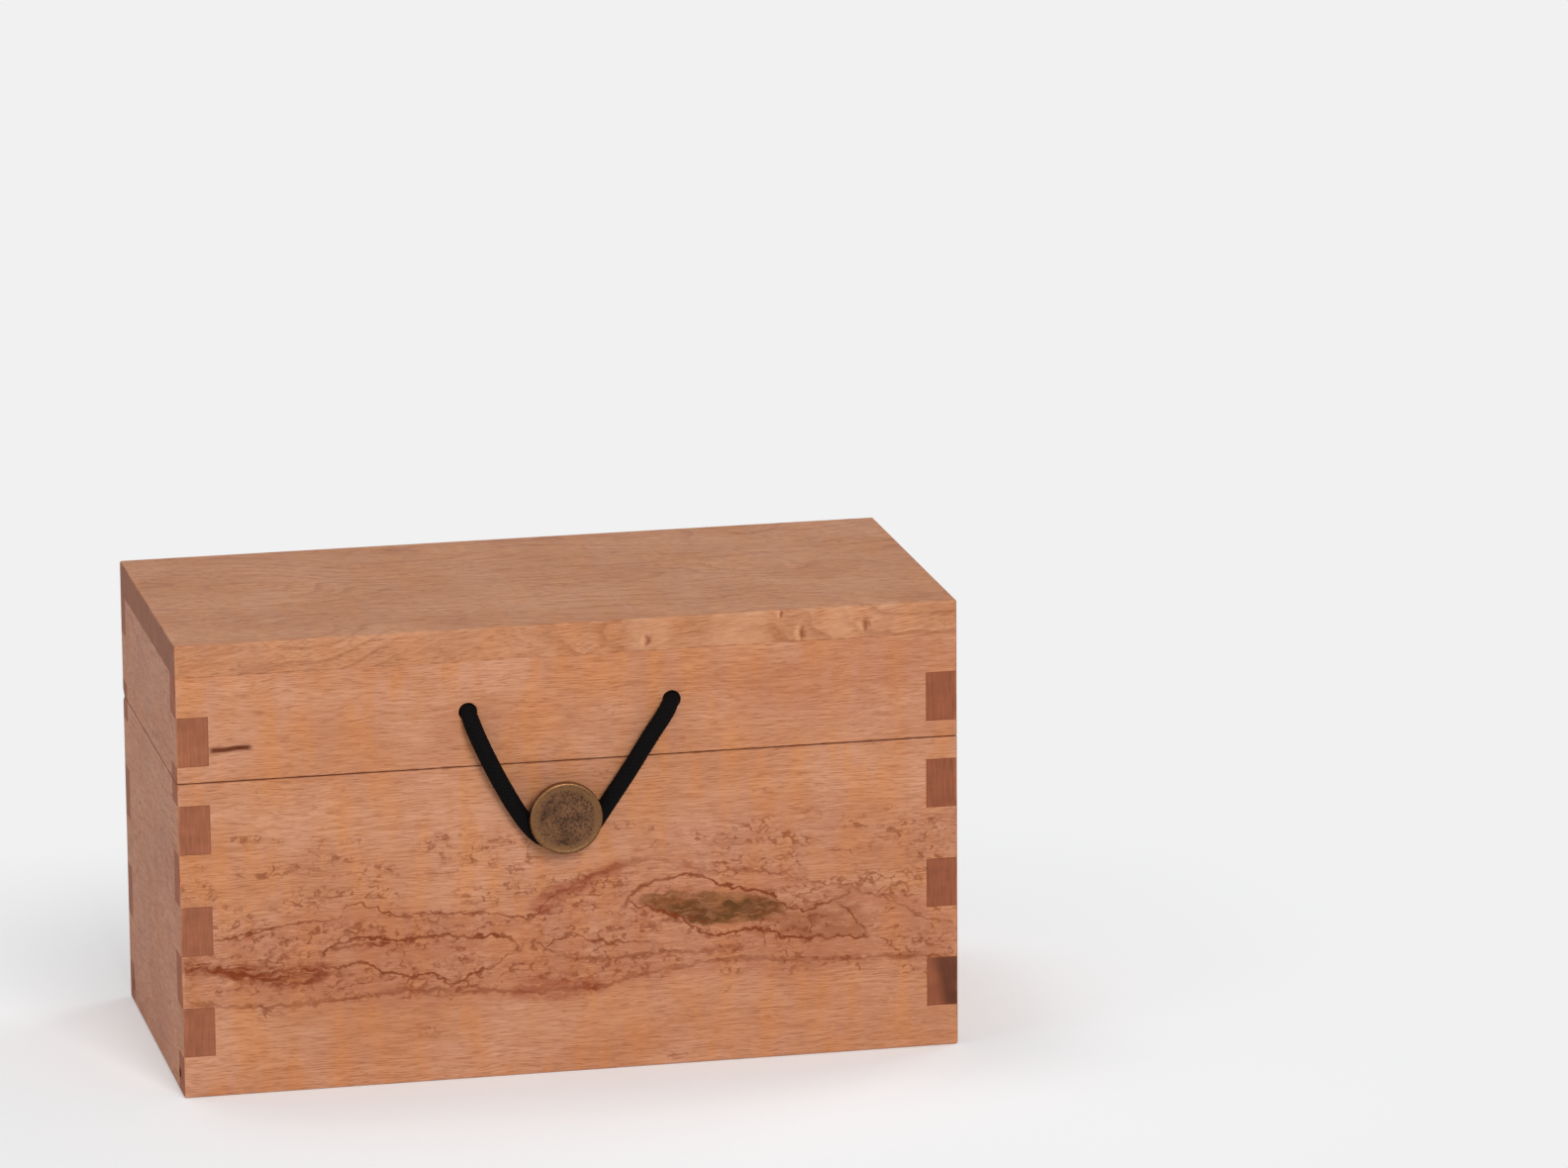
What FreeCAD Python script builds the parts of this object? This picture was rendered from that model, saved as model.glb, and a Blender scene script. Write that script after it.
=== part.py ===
import FreeCAD, Part
import math
import os
import re

import Sketcher

# Hinged keepsake box of finger-jointed boards, with an elastic loop and a button to hold its lid.
# Millimetres, +Z up, front towards -Y. The origin is on the ground, in the middle of the footprint,
# and the button at the front counts in the footprint.

# Driving dimensions: name, millimetres, what it measures
SIZES = [
    ("box_width", 193.5, "outside of the box along X"),
    ("box_depth", 91.5, "outside of the box along Y, without the button"),
    ("rim_height", 78.9, "top edge of the box's walls"),
    ("lid_gap", 0.3, "gap between the box's rim and the lid's rim"),
    ("lid_rail_height", 26.2, "height of the lid's rails under its top board"),
    ("top_thickness", 8.0, "top board"),
    ("wall", 7.9, "walls and rails"),
    ("edge_round", 0.6, "rounding of the outer edges"),
    ("finger_height", 12.3, "each finger of the end walls"),
    ("finger_pitch", 25.4, "from one finger to the next"),
    ("first_finger", 10.4, "ground to the lowest finger"),
    ("lid_finger_lift", 4.0, "lid's rim to the lid's finger"),
    ("floor_lift", 3.3, "ground to the underside of the bottom panel"),
    ("floor_thickness", 2.6, "bottom panel"),
    ("groove_depth", 2.9, "groove for the bottom panel, into the wall"),
    ("floor_play", 0.1, "room for the bottom panel in its groove"),
    ("bevel_height", 1.8, "bevel on each back rim, up the back face"),
    ("bevel_depth", 2.4, "bevel on each back rim, in from the back face"),
    ("hinge_from_end", 36.75, "box's end to the middle of the hinge nearest to it"),
    ("hinge_length", 25.4, "hinge along its pin"),
    ("hinge_inset", 1.6, "pin's axis in from the back face"),
    ("knuckle_radius", 1.45, "outside of a knuckle"),
    ("knuckle_gap", 0.15, "between two knuckles, along the pin"),
    ("knuckle_play", 0.25, "round a knuckle, to the wood and to the other leaf"),
    ("pin_radius", 0.7, "hinge pin"),
    ("pin_play", 0.03, "round the hinge pin"),
    ("leaf_thickness", 0.8, "hinge leaf"),
    ("leaf_reach", 5.2, "pin's axis to the leaf's far edge"),
    ("leaf_play", 0.1, "round a leaf in its recess"),
    ("leaf_screw_spread", 15.0, "between the two screws of a leaf"),
    ("leaf_screw_reach", 3.5, "pin's axis to the screws"),
    ("leaf_screw_radius", 0.8, "shank of a hinge screw"),
    ("leaf_screw_head", 1.5, "radius of a hinge screw's countersunk head"),
    ("leaf_screw_length", 8.0, "hinge screw, head included"),
    ("leaf_screw_tip", 1.6, "pointed end of a hinge screw"),
    ("screw_play", 0.05, "round a screw"),
    ("slot_width", 0.5, "driver slot"),
    ("slot_depth", 0.35, "driver slot"),
    ("button_x", -2.5, "button's axis, from the middle of the front"),
    ("button_drop", 12.8, "box's rim down to the button's axis"),
    ("neck_radius", 4.4, "button's neck"),
    ("neck_length", 4.6, "button's neck, out from the front"),
    ("head_radius", 9.0, "button's head"),
    ("head_thickness", 2.2, "button's head"),
    ("head_edge", 0.5, "rounding of the button's head"),
    ("stud_radius", 1.5, "shank of the button's screw"),
    ("stud_bite", 4.8, "length of that screw inside the button"),
    ("stud_head_radius", 2.8, "head of the button's screw"),
    ("stud_head_height", 1.7, "head of the button's screw"),
    ("washer_radius", 4.5, "washer under that head"),
    ("washer_thickness", 0.8, "washer under that head"),
    ("cord_radius", 2.1, "elastic cord"),
    ("cord_play", 0.2, "round the cord in its hole"),
    ("cord_spread", 50.4, "from one cord hole to the other"),
    ("cord_hole_lift", 13.5, "lid's rim up to the cord holes"),
    ("cord_seat", 0.15, "loop's ends to the lid's front"),
    ("knot_radius", 4.6, "knot in the cord's end"),
    ("knot_sink", 0.4, "how far a knot is drawn into its hole"),
    ("cord_tail", 9.5, "loose end below a knot's middle"),
]

# The loop's route on each side, from the cord hole towards the button's axis: share of the way across,
# share of the way down, and out from the front face in radii of the cord
LOOP_RUNS = {
    "left": [
        (0.0, 0.0, 0.0),
        (0.0264, 0.1053, 1.24),
        (0.1278, 0.3195, 1.52),
        (0.2907, 0.6165, 1.43),
        (0.5242, 0.9812, 1.19),
    ],
    "right": [
        (0.0, 0.0, 0.0),
        (0.0578, 0.0789, 1.24),
        (0.2022, 0.2744, 1.52),
        (0.4079, 0.6165, 1.43),
        (0.6137, 0.9323, 1.19),
    ],
}
# The loop's route under the button: right of the axis and down from it in radii of neck and cord together,
# and out from the front face in radii of the cord
LOOP_WRAP = [(-0.892, 0.892, 1.095), (0.0, 1.092, 1.095), (0.862, 0.892, 1.095)]
ARC_SHARE = 0.45  # share of the shorter run that a bend of the cord takes up

BODY_FINGERS = 3  # fingers of each end wall below the lid
LID_FINGERS = 1  # fingers of each end rail of the lid
TINY = 1e-6  # two radii this near are the same
OVER = 5.0  # how far a cutting block runs past the face it opens

# Places that several pieces share, as formulas of the sizes
FRONT = "((neck_length + head_thickness - box_depth) / 2)"
BACK = "((neck_length + head_thickness + box_depth) / 2)"
LEFT = "(-box_width / 2)"
RIGHT = "(box_width / 2)"
LID_RIM = "(rim_height + lid_gap)"
LID_SHOULDER = f"({LID_RIM} + lid_rail_height)"
AXIS_Y = f"({BACK} - hinge_inset)"
AXIS_Z = "(rim_height + lid_gap / 2)"
BUTTON_Z = "(rim_height - button_drop)"
CORD_Z = f"({LID_RIM} + cord_hole_lift)"

ALONG_X = FreeCAD.Rotation(FreeCAD.Vector(0, 0, 1), FreeCAD.Vector(1, 0, 0))
ALONG_Y = FreeCAD.Rotation(FreeCAD.Vector(0, 0, 1), FreeCAD.Vector(0, 1, 0))
ALONG_Z = FreeCAD.Rotation()
DOWN = FreeCAD.Rotation(FreeCAD.Vector(1, 0, 0), 180)

doc = FreeCAD.newDocument("keepsake_box")
sheet = doc.addObject("Spreadsheet::Sheet", "Sizes")
for row, (name, value, meaning) in enumerate(SIZES, start=1):
    sheet.set(f"A{row}", meaning)
    sheet.set(f"B{row}", str(value))
    sheet.setAlias(f"B{row}", name)
doc.recompute()
NAMES = {name for name, _, _ in SIZES}
pieces = []


def formula(text):
    """The text as an expression, with each size's name turned into its cell."""
    return re.sub(r"[a-z_]+", lambda word: f"Sizes.{word[0]}" if word[0] in NAMES else word[0], text)


def bind(item, **formulas):
    """Tie properties of an object to formulas of the sizes."""
    for name, text in formulas.items():
        item.setExpression(name, formula(text))
    return item


def reading(text):
    """The value that a formula has now."""
    probe = doc.addObject("App::FeaturePython", "probe")
    probe.addProperty("App::PropertyFloat", "value")
    bind(probe, value=text)
    doc.recompute([probe])
    value_now = probe.value
    doc.removeObject(probe.Name)
    return value_now


def place(item, x, y, z, turn=ALONG_Z):
    """Turn an object and tie its place to formulas."""
    item.Placement = FreeCAD.Placement(FreeCAD.Vector(), turn)
    for letter, text in zip("xyz", (x, y, z)):
        item.setExpression(f".Placement.Base.{letter}", formula(text))
    return item


def piece(item, label):
    """Keep an object as a finished sub-part of that name."""
    item.Label = label
    pieces.append(item)
    return item


def block(name, across, deep, high, x, y, z):
    """A block from its lowest corner."""
    item = bind(doc.addObject("Part::Box", name), Length=across, Width=deep, Height=high)
    return place(item, x, y, z)


def rod(name, radius, length, x, y, z, turn):
    """A round rod from the middle of its first end."""
    item = bind(doc.addObject("Part::Cylinder", name), Radius=radius, Height=length)
    return place(item, x, y, z, turn)


def taper(name, first_radius, last_radius, length, x, y, z, turn):
    """A cone frustum from the middle of its first end."""
    item = doc.addObject("Part::Cone", name)
    bind(item, Radius1=first_radius, Radius2=last_radius, Height=length)
    return place(item, x, y, z, turn)


def union(name, items):
    """Several objects as one."""
    item = doc.addObject("Part::MultiFuse", name)
    item.Shapes = items
    return item


def cut(name, base, tools):
    """A base with tools taken out of it."""
    item = doc.addObject("Part::Cut", name)
    item.Base = base
    item.Tool = tools[0] if len(tools) == 1 else union(f"{name}_cutters", tools)
    return item


def common(name, base, tool):
    """What two objects share."""
    item = doc.addObject("Part::Common", name)
    item.Base = base
    item.Tool = tool
    return item


def sketch(body, name, plane, points):
    """A closed outline on one of the body's own planes, each corner tied to two formulas."""
    item = body.newObject("Sketcher::SketchObject", name)
    support = next(f for f in body.Origin.OriginFeatures if f.Role == plane)
    item.AttachmentSupport = [(support, "")]
    item.MapMode = "FlatFace"
    ends = [FreeCAD.Vector(reading(x), reading(y), 0) for x, y in points]
    for index, start in enumerate(ends):
        item.addGeometry(Part.LineSegment(start, ends[(index + 1) % len(ends)]), False)
    for index in range(len(ends)):
        following = (index + 1) % len(ends)
        item.addConstraint(Sketcher.Constraint("Coincident", index, 2, following, 1))
    for index, (point, start) in enumerate(zip(points, ends)):
        for kind, text, length in zip(("DistanceX", "DistanceY"), point, start):
            number = item.addConstraint(Sketcher.Constraint(kind, -1, 1, index, 1, length))
            item.setExpression(f"Constraints[{number}]", formula(text))
    return item


def turned(name, points):
    """A body turned about its own Y axis from an outline of radius and height."""
    body = doc.addObject("PartDesign::Body", name)
    outline = sketch(body, f"{name}_outline", "XY_Plane", points)
    turning = body.newObject("PartDesign::Revolution", f"{name}_turning")
    turning.Profile = outline
    turning.ReferenceAxis = (outline, ["V_Axis"])
    turning.Angle = 360
    return body


def outer_form():
    """The whole box as one rounded block, bevelled where lid and box meet at the back."""
    body = doc.addObject("PartDesign::Body", "outer_form")
    plan = sketch(
        body,
        "outer_plan",
        "XY_Plane",
        [(LEFT, FRONT), (RIGHT, FRONT), (RIGHT, BACK), (LEFT, BACK)],
    )
    solid = body.newObject("PartDesign::Pad", "outer_block")
    solid.Profile = plan
    bind(solid, Length=f"{LID_SHOULDER} + top_thickness")
    doc.recompute()
    rounding = body.newObject("PartDesign::Fillet", "outer_rounding")
    rounding.Base = (solid, ["Face1"])
    rounding.UseAllEdges = True
    bind(rounding, Radius="edge_round")
    doc.recompute()
    reach = f"({BACK} - bevel_depth)"
    notch = sketch(
        body,
        "back_notch",
        "YZ_Plane",
        [
            (reach, LID_RIM),
            (reach, "rim_height"),
            (BACK, "(rim_height - bevel_height)"),
            (BACK, f"({LID_RIM} + bevel_height)"),
        ],
    )
    bevel = body.newObject("PartDesign::Pocket", "back_bevel")
    bevel.Profile = notch
    bevel.Type = "ThroughAll"
    bevel.Midplane = True
    return body


def finger_slots(name, face, low, count):
    """The slots in a front or back board that the end boards' fingers fill."""
    slots = []
    for index in range(count):
        for side, x in (("left", LEFT), ("right", f"({RIGHT} - wall)")):
            z = f"({low} + {index} * finger_pitch)"
            slot = f"{name}_{side}_slot_{index + 1}"
            slots.append(block(slot, "wall", "wall", "finger_height", x, face, z))
    return slots


def frame_blanks(name, rim, high, low, count):
    """Front and back boards of the box or of the lid, with finger slots and nothing else cut."""
    blanks = {}
    for side, face in (("front", FRONT), ("back", f"({BACK} - wall)")):
        board = block(f"{name}_{side}_board", "box_width", "wall", high, LEFT, face, rim)
        blanks[side] = cut(f"{name}_{side}_blank", board, finger_slots(f"{name}_{side}", face, low, count))
    return blanks


def end_boards(name, rim, high, blanks, tools, form):
    """End boards, whose fingers are what the front and back boards leave free."""
    for side, x in (("left", LEFT), ("right", f"({RIGHT} - wall)")):
        board = block(f"{name}_{side}_board", "wall", "box_depth", high, x, FRONT, rim)
        shaped = cut(f"{name}_{side}_cut", board, [blanks["front"], blanks["back"], *tools])
        piece(common(f"{name}_{side}", shaped, form), f"{name}_{side}_end")


def floor_grooves():
    """One groove ring for the bottom panel, running out at both ends of the front and back walls."""
    high = "(floor_thickness + floor_play)"
    grooves = []
    for side, y in (("front", f"({FRONT} + wall - groove_depth)"), ("back", f"({BACK} - wall)")):
        grooves.append(
            block(f"floor_groove_{side}", "box_width", "groove_depth", high, LEFT, y, "floor_lift")
        )
    inside = "(box_depth - 2 * wall)"
    for side, x in (("left", f"({LEFT} + wall - groove_depth)"), ("right", f"({RIGHT} - wall)")):
        name = f"floor_groove_{side}"
        grooves.append(block(name, "groove_depth", inside, high, x, f"({FRONT} + wall)", "floor_lift"))
    return dict(zip(("front", "back", "left", "right"), grooves))


def bottom_panel():
    """The floor, a little smaller than its groove."""
    inset = "(wall - groove_depth + floor_play)"
    panel = block(
        "floor_board",
        f"(box_width - 2 * {inset})",
        f"(box_depth - 2 * {inset})",
        "floor_thickness",
        f"({LEFT} + {inset})",
        f"({FRONT} + {inset})",
        "floor_lift",
    )
    piece(panel, "bottom_panel")


HINGES = {"left": f"({LEFT} + hinge_from_end)", "right": f"({RIGHT} - hinge_from_end)"}


def screw_places():
    """Each hinge screw's name and X."""
    for side, middle in HINGES.items():
        for number, sign in ((1, "-"), (2, "+")):
            yield f"{side}_{number}", f"({middle} {sign} leaf_screw_spread / 2)"


def hinge_recesses(part, rim, turn):
    """What the hinges take out of one back board: leaf, knuckles and screws."""
    tools = []
    below = part == "body"
    for side, middle in HINGES.items():
        left = f"({middle} - hinge_length / 2 - leaf_play)"
        across = "(hinge_length + 2 * leaf_play)"
        front = f"({AXIS_Y} - leaf_reach - leaf_play)"
        back = f"({BACK} + {OVER} - {front})"
        low = f"({rim} - leaf_thickness)" if below else f"({rim} - {OVER})"
        high = f"(leaf_thickness + {OVER})"
        tools.append(block(f"{part}_{side}_leaf_recess", across, back, high, left, front, low))
        front = f"({AXIS_Y} - knuckle_radius - knuckle_play)"
        back = f"({BACK} + {OVER} - {front})"
        radius = "(knuckle_radius + knuckle_play)"
        low = f"({AXIS_Z} - {radius})"
        high = f"(2 * {radius})"
        tools.append(block(f"{part}_{side}_knuckle_recess", across, back, high, left, front, low))
    radius = "(leaf_screw_radius + screw_play)"
    length = "(leaf_screw_length + screw_play)"
    for name, x in screw_places():
        y = f"({AXIS_Y} - leaf_screw_reach)"
        tools.append(rod(f"{part}_pilot_{name}", radius, length, x, y, rim, turn))
    return tools


def hinge_leaf(part, side, rim, turn):
    """One leaf with its knuckles: the outer two on the box, the middle one on the lid."""
    name = f"{side}_hinge_{part}_leaf"
    middle = HINGES[side]
    low = f"({rim} - leaf_thickness)" if part == "body" else rim
    left = f"({middle} - hinge_length / 2)"
    y = f"({AXIS_Y} - leaf_reach)"
    plate = block(f"{name}_plate", "hinge_length", "leaf_reach", "leaf_thickness", left, y, low)
    outer = "(hinge_length / 3 - knuckle_gap / 2)"
    inner = "(hinge_length / 3 - knuckle_gap)"
    spans = {
        "first": (left, outer),
        "middle": (f"({middle} - {inner} / 2)", inner),
        "last": (f"({middle} + hinge_length / 2 - {outer})", outer),
    }
    own = ("first", "last") if part == "body" else ("middle",)
    radius = "(knuckle_radius + knuckle_play)"
    knuckles = []
    cuts = []
    for span, (x, length) in spans.items():
        if span in own:
            knuckle = rod(f"{name}_{span}", "knuckle_radius", length, x, AXIS_Y, AXIS_Z, ALONG_X)
            knuckles.append(knuckle)
        else:
            x = f"({x} - knuckle_gap)"
            length = f"({length} + 2 * knuckle_gap)"
            y = f"({AXIS_Y} - {radius})"
            z = f"({AXIS_Z} - {radius})"
            room = block(f"{name}_{span}_room", length, f"(2 * {radius})", f"(2 * {radius})", x, y, z)
            cuts.append(room)
    bore = "(pin_radius + pin_play)"
    cuts.append(rod(f"{name}_bore", bore, "hinge_length", left, AXIS_Y, AXIS_Z, ALONG_X))
    wide = "(leaf_screw_head + screw_play)"
    slim = "(leaf_screw_radius + screw_play)"
    for number, x in screw_places():
        if number.startswith(side):
            y = f"({AXIS_Y} - leaf_screw_reach)"
            sink = taper(f"{name}_sink_{number}", wide, slim, "leaf_thickness", x, y, rim, turn)
            cuts.append(sink)
    piece(cut(name, union(f"{name}_whole", [plate, *knuckles]), cuts), name)


def hinge_screws(part, rim, turn):
    """Four countersunk wood screws with driver slots, flush with the leaves."""
    screws = []
    sign = "-" if part == "body" else "+"
    y = f"({AXIS_Y} - leaf_screw_reach)"
    for number, x in screw_places():
        name = f"{part}_screw_{number}"
        wide, slim = "leaf_screw_head", "leaf_screw_radius"
        head = taper(f"{name}_head", wide, slim, "leaf_thickness", x, y, rim, turn)
        straight = "(leaf_screw_length - leaf_screw_tip)"
        shank = rod(f"{name}_shank", slim, straight, x, y, rim, turn)
        z = f"({rim} {sign} {straight})"
        tip = doc.addObject("Part::Cone", f"{name}_tip")
        tip.Radius2 = 0
        bind(tip, Radius1=slim, Height="leaf_screw_tip")
        place(tip, x, y, z, turn)
        left = f"({x} - leaf_screw_head)"
        low = f"({rim} - slot_depth)" if part == "body" else rim
        front = f"({y} - slot_width / 2)"
        slot = block(f"{name}_slot", "(2 * leaf_screw_head)", "slot_width", "slot_depth", left, front, low)
        screws.append(cut(name, union(f"{name}_whole", [head, shank, tip]), [slot]))
    group = doc.addObject("Part::Compound", f"hinge_{part}_screws")
    group.Links = screws
    piece(group, f"hinge_{part}_screws")


def hinge_pins():
    """One pin through each hinge's knuckles."""
    for side, middle in HINGES.items():
        left = f"({middle} - hinge_length / 2)"
        pin = rod(f"{side}_pin", "pin_radius", "hinge_length", left, AXIS_Y, AXIS_Z, ALONG_X)
        piece(pin, f"{side}_hinge_pin")


def button():
    """A flat round head on a neck, with a blind hole for its screw."""
    out = "(-neck_length - head_thickness)"
    bore = "(stud_radius + screw_play)"
    deep = "(-stud_bite - screw_play)"
    body = turned(
        "brass_button",
        [
            (bore, "0"),
            ("neck_radius", "0"),
            ("neck_radius", "-neck_length"),
            ("head_radius", "-neck_length"),
            ("head_radius", out),
            ("0", out),
            ("0", deep),
            (bore, deep),
        ],
    )
    doc.recompute()
    turning = body.Tip
    head = reading("head_radius")
    edges = []
    for number, edge in enumerate(turning.Shape.Edges, start=1):
        if isinstance(edge.Curve, Part.Circle) and abs(edge.Curve.Radius - head) < TINY:
            edges.append(f"Edge{number}")
    rounding = body.newObject("PartDesign::Fillet", "button_rounding")
    rounding.Base = (turning, edges)
    bind(rounding, Radius="head_edge")
    piece(place(body, "button_x", FRONT, BUTTON_Z), "button")


def button_screw():
    """The slotted screw that comes through the front wall into the button."""
    end = "(-wall - washer_thickness - stud_bite)"
    body = turned(
        "stud",
        [
            ("0", "stud_head_height"),
            ("stud_head_radius", "stud_head_height"),
            ("stud_head_radius", "0"),
            ("stud_radius", "0"),
            ("stud_radius", end),
            ("0", end),
        ],
    )
    seat = f"({FRONT} + wall + washer_thickness)"
    place(body, "button_x", seat, BUTTON_Z)
    left = "(button_x - stud_head_radius)"
    low = f"({BUTTON_Z} - slot_width)"
    y = f"({seat} + stud_head_height - 2 * slot_depth)"
    across = "(2 * stud_head_radius)"
    slot = block("stud_slot", across, "(2 * slot_depth)", "(2 * slot_width)", left, y, low)
    piece(cut("slotted_stud", body, [slot]), "button_screw")


def button_washer():
    """The washer between the front wall and the button's screw."""
    y = f"({FRONT} + wall)"
    disc = rod("washer_disc", "washer_radius", "washer_thickness", "button_x", y, BUTTON_Z, ALONG_Y)
    bore = "(stud_radius + screw_play)"
    hole = rod("washer_hole", bore, "washer_thickness", "button_x", y, BUTTON_Z, ALONG_Y)
    piece(cut("washer", disc, [hole]), "button_washer")


CORD_HOLES = {"left": "(-cord_spread / 2)", "right": "(cord_spread / 2)"}


def cord_holes():
    """The two holes for the cord in the lid's front rail."""
    radius = "(cord_radius + cord_play)"
    return [
        rod(f"{side}_cord_hole", radius, "wall", x, FRONT, CORD_Z, ALONG_Y)
        for side, x in CORD_HOLES.items()
    ]


def cord_ends():
    """The cord through each hole, with its knot inside the lid and a loose end."""
    for side, x in CORD_HOLES.items():
        knot_y = f"({FRONT} + wall + knot_radius - knot_sink)"
        stub = rod(f"{side}_cord_stub", "cord_radius", "(wall + knot_radius)", x, FRONT, CORD_Z, ALONG_Y)
        knot = bind(doc.addObject("Part::Sphere", f"{side}_knot"), Radius="knot_radius")
        place(knot, x, knot_y, CORD_Z)
        tail = rod(f"{side}_cord_tail", "cord_radius", "cord_tail", x, knot_y, CORD_Z, DOWN)
        piece(union(f"{side}_cord", [stub, knot, tail]), f"{side}_cord_end")


def cord_bend(before, corner, after):
    """The arc that rounds one corner of the cord, as its first, middle and last points and its radius."""
    back = before - corner
    ahead = after - corner
    turn = math.pi - back.getAngle(ahead)
    reach = ARC_SHARE * min(back.Length, ahead.Length)
    radius = reach / math.tan(turn / 2)
    back.normalize()
    ahead.normalize()
    inward = (back + ahead).normalize()
    middle = corner + inward * (radius / math.cos(turn / 2) - radius)
    return corner + back * reach, middle, corner + ahead * reach, radius


def cord_tube(points, radius):
    """A round tube along straight runs joined by tangent arcs, run on straight at both ends."""
    run_on = 2 * radius
    first = points[0] + (points[0] - points[1]).normalize() * run_on
    last = points[-1] + (points[-1] - points[-2]).normalize() * run_on
    here = first
    edges = []
    for before, corner, after in zip(points, points[1:], points[2:]):
        start, middle, end, bend = cord_bend(before, corner, after)
        print(f"cord bend at {corner.x:.1f}, {corner.z:.1f}: radius {bend:.1f}")
        edges.append(Part.LineSegment(here, start).toShape())
        edges.append(Part.Arc(start, middle, end).toShape())
        here = end
    edges.append(Part.LineSegment(here, last).toShape())
    path = Part.Wire(edges)
    section = Part.Wire(Part.makeCircle(radius, first, points[1] - points[0]))
    tube = path.makePipeShell([section], True, True)
    full = math.pi * radius**2 * path.Length
    print(f"cord length {path.Length:.1f}, volume {tube.Volume:.1f} of {full:.1f}")
    return tube


def loop_points():
    """The corners of the loop's route, from the left hole under the button to the right hole."""
    front = reading(FRONT)
    thick = reading("cord_radius")
    axis_x = reading("button_x")
    axis_z = reading(BUTTON_Z)
    hole_z = reading(CORD_Z)
    runs = {}
    for side, shares in LOOP_RUNS.items():
        hole_x = reading(CORD_HOLES[side])
        runs[side] = [
            FreeCAD.Vector(
                hole_x + across * (axis_x - hole_x),
                front - out * thick,
                hole_z + down * (axis_z - hole_z),
            )
            for across, down, out in shares
        ]
    ring = reading("neck_radius + cord_radius")
    wrap = [
        FreeCAD.Vector(axis_x + across * ring, front - out * thick, axis_z - down * ring)
        for across, down, out in LOOP_WRAP
    ]
    return runs["left"] + wrap + runs["right"][::-1]


def elastic_loop():
    """The cord outside the lid, from one hole round the button's neck to the other hole."""
    tube = doc.addObject("Part::Feature", "loop_tube")
    tube.Shape = cord_tube(loop_points(), reading("cord_radius"))
    y = f"({FRONT} - cord_seat)"
    behind = block("loop_ends", "box_width", "wall", "rim_height", LEFT, y, "rim_height")
    piece(cut("loop", tube, [behind]), "elastic_loop")


form = outer_form()
grooves = floor_grooves()

# The box's four walls and its floor
blanks = frame_blanks("body", "0", "rim_height", "first_finger", BODY_FINGERS)
stud_hole = rod("stud_hole", "(stud_radius + screw_play)", "wall", "button_x", FRONT, BUTTON_Z, ALONG_Y)
front_cut = cut("body_front_cut", blanks["front"], [grooves["front"], stud_hole])
piece(common("body_front", front_cut, form), "body_front")
back_tools = [grooves["back"], *hinge_recesses("body", "rim_height", DOWN)]
piece(common("body_back", cut("body_back_cut", blanks["back"], back_tools), form), "body_back")
end_boards("body", "0", "rim_height", blanks, [grooves["left"], grooves["right"]], form)
bottom_panel()

# The lid's four rails and its top board
blanks = frame_blanks(
    "lid", LID_RIM, "lid_rail_height", f"({LID_RIM} + lid_finger_lift)", LID_FINGERS
)
piece(common("lid_front", cut("lid_front_cut", blanks["front"], cord_holes()), form), "lid_front")
back_tools = hinge_recesses("lid", LID_RIM, ALONG_Z)
piece(common("lid_back", cut("lid_back_cut", blanks["back"], back_tools), form), "lid_back")
end_boards("lid", LID_RIM, "lid_rail_height", blanks, [], form)
top = block("top_board", "box_width", "box_depth", "top_thickness", LEFT, FRONT, LID_SHOULDER)
piece(common("lid_top", top, form), "lid_top")

# Two hinges
for hinge_side in HINGES:
    hinge_leaf("body", hinge_side, "rim_height", DOWN)
    hinge_leaf("lid", hinge_side, LID_RIM, ALONG_Z)
hinge_pins()
hinge_screws("body", "rim_height", DOWN)
hinge_screws("lid", LID_RIM, ALONG_Z)

# The button and the elastic that hooks under it
button()
button_screw()
button_washer()
cord_ends()
elastic_loop()

doc.recompute()
faults = [item.Name for item in doc.Objects if {"Invalid", "Error"} & set(item.State)]
for item in pieces:
    if item.Shape.isNull() or not item.Shape.isValid():
        faults.append(item.Label)
if faults:
    raise RuntimeError(f"these objects failed: {faults}")

os.makedirs("parts", exist_ok=True)
for item in pieces:
    item.Shape.exportStep(f"parts/{item.Label}.step")
    print(f"{item.Label}: {len(item.Shape.Solids)} solids, {item.Shape.Volume:.1f} mm3")
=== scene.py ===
"""Dress a finger-jointed keepsake box: figured wood, a turned brass button and a braided elastic loop.

Pieces are in metres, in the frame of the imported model. Patterns in the finishes are laid out in millimetres.
"""

import logging
import math
from dataclasses import dataclass, field
from enum import Enum
from itertools import accumulate
from typing import Union

import bmesh
import bpy
import numpy as np
from mathutils import Matrix, Vector


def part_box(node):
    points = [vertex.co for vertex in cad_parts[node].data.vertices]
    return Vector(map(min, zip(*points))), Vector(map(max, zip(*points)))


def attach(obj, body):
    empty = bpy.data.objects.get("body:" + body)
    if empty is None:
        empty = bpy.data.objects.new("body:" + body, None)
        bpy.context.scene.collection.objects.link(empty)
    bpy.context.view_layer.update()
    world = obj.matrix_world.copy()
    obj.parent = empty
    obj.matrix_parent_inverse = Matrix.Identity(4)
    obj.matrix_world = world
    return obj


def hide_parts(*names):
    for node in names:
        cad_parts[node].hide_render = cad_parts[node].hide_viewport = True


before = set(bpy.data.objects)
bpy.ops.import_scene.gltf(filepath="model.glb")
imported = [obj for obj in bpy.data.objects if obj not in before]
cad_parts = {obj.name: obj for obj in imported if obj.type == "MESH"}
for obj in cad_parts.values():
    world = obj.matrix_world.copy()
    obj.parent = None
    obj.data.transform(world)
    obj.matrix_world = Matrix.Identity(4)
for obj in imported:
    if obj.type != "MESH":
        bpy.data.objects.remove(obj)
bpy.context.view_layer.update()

Socket = bpy.types.NodeSocket
Feed = Union[Socket, float, tuple]
Colour = tuple[float, float, float, float]
Line = tuple[tuple[float, float], ...]

log = logging.getLogger("keepsake_box")

MM = 0.001


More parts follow.
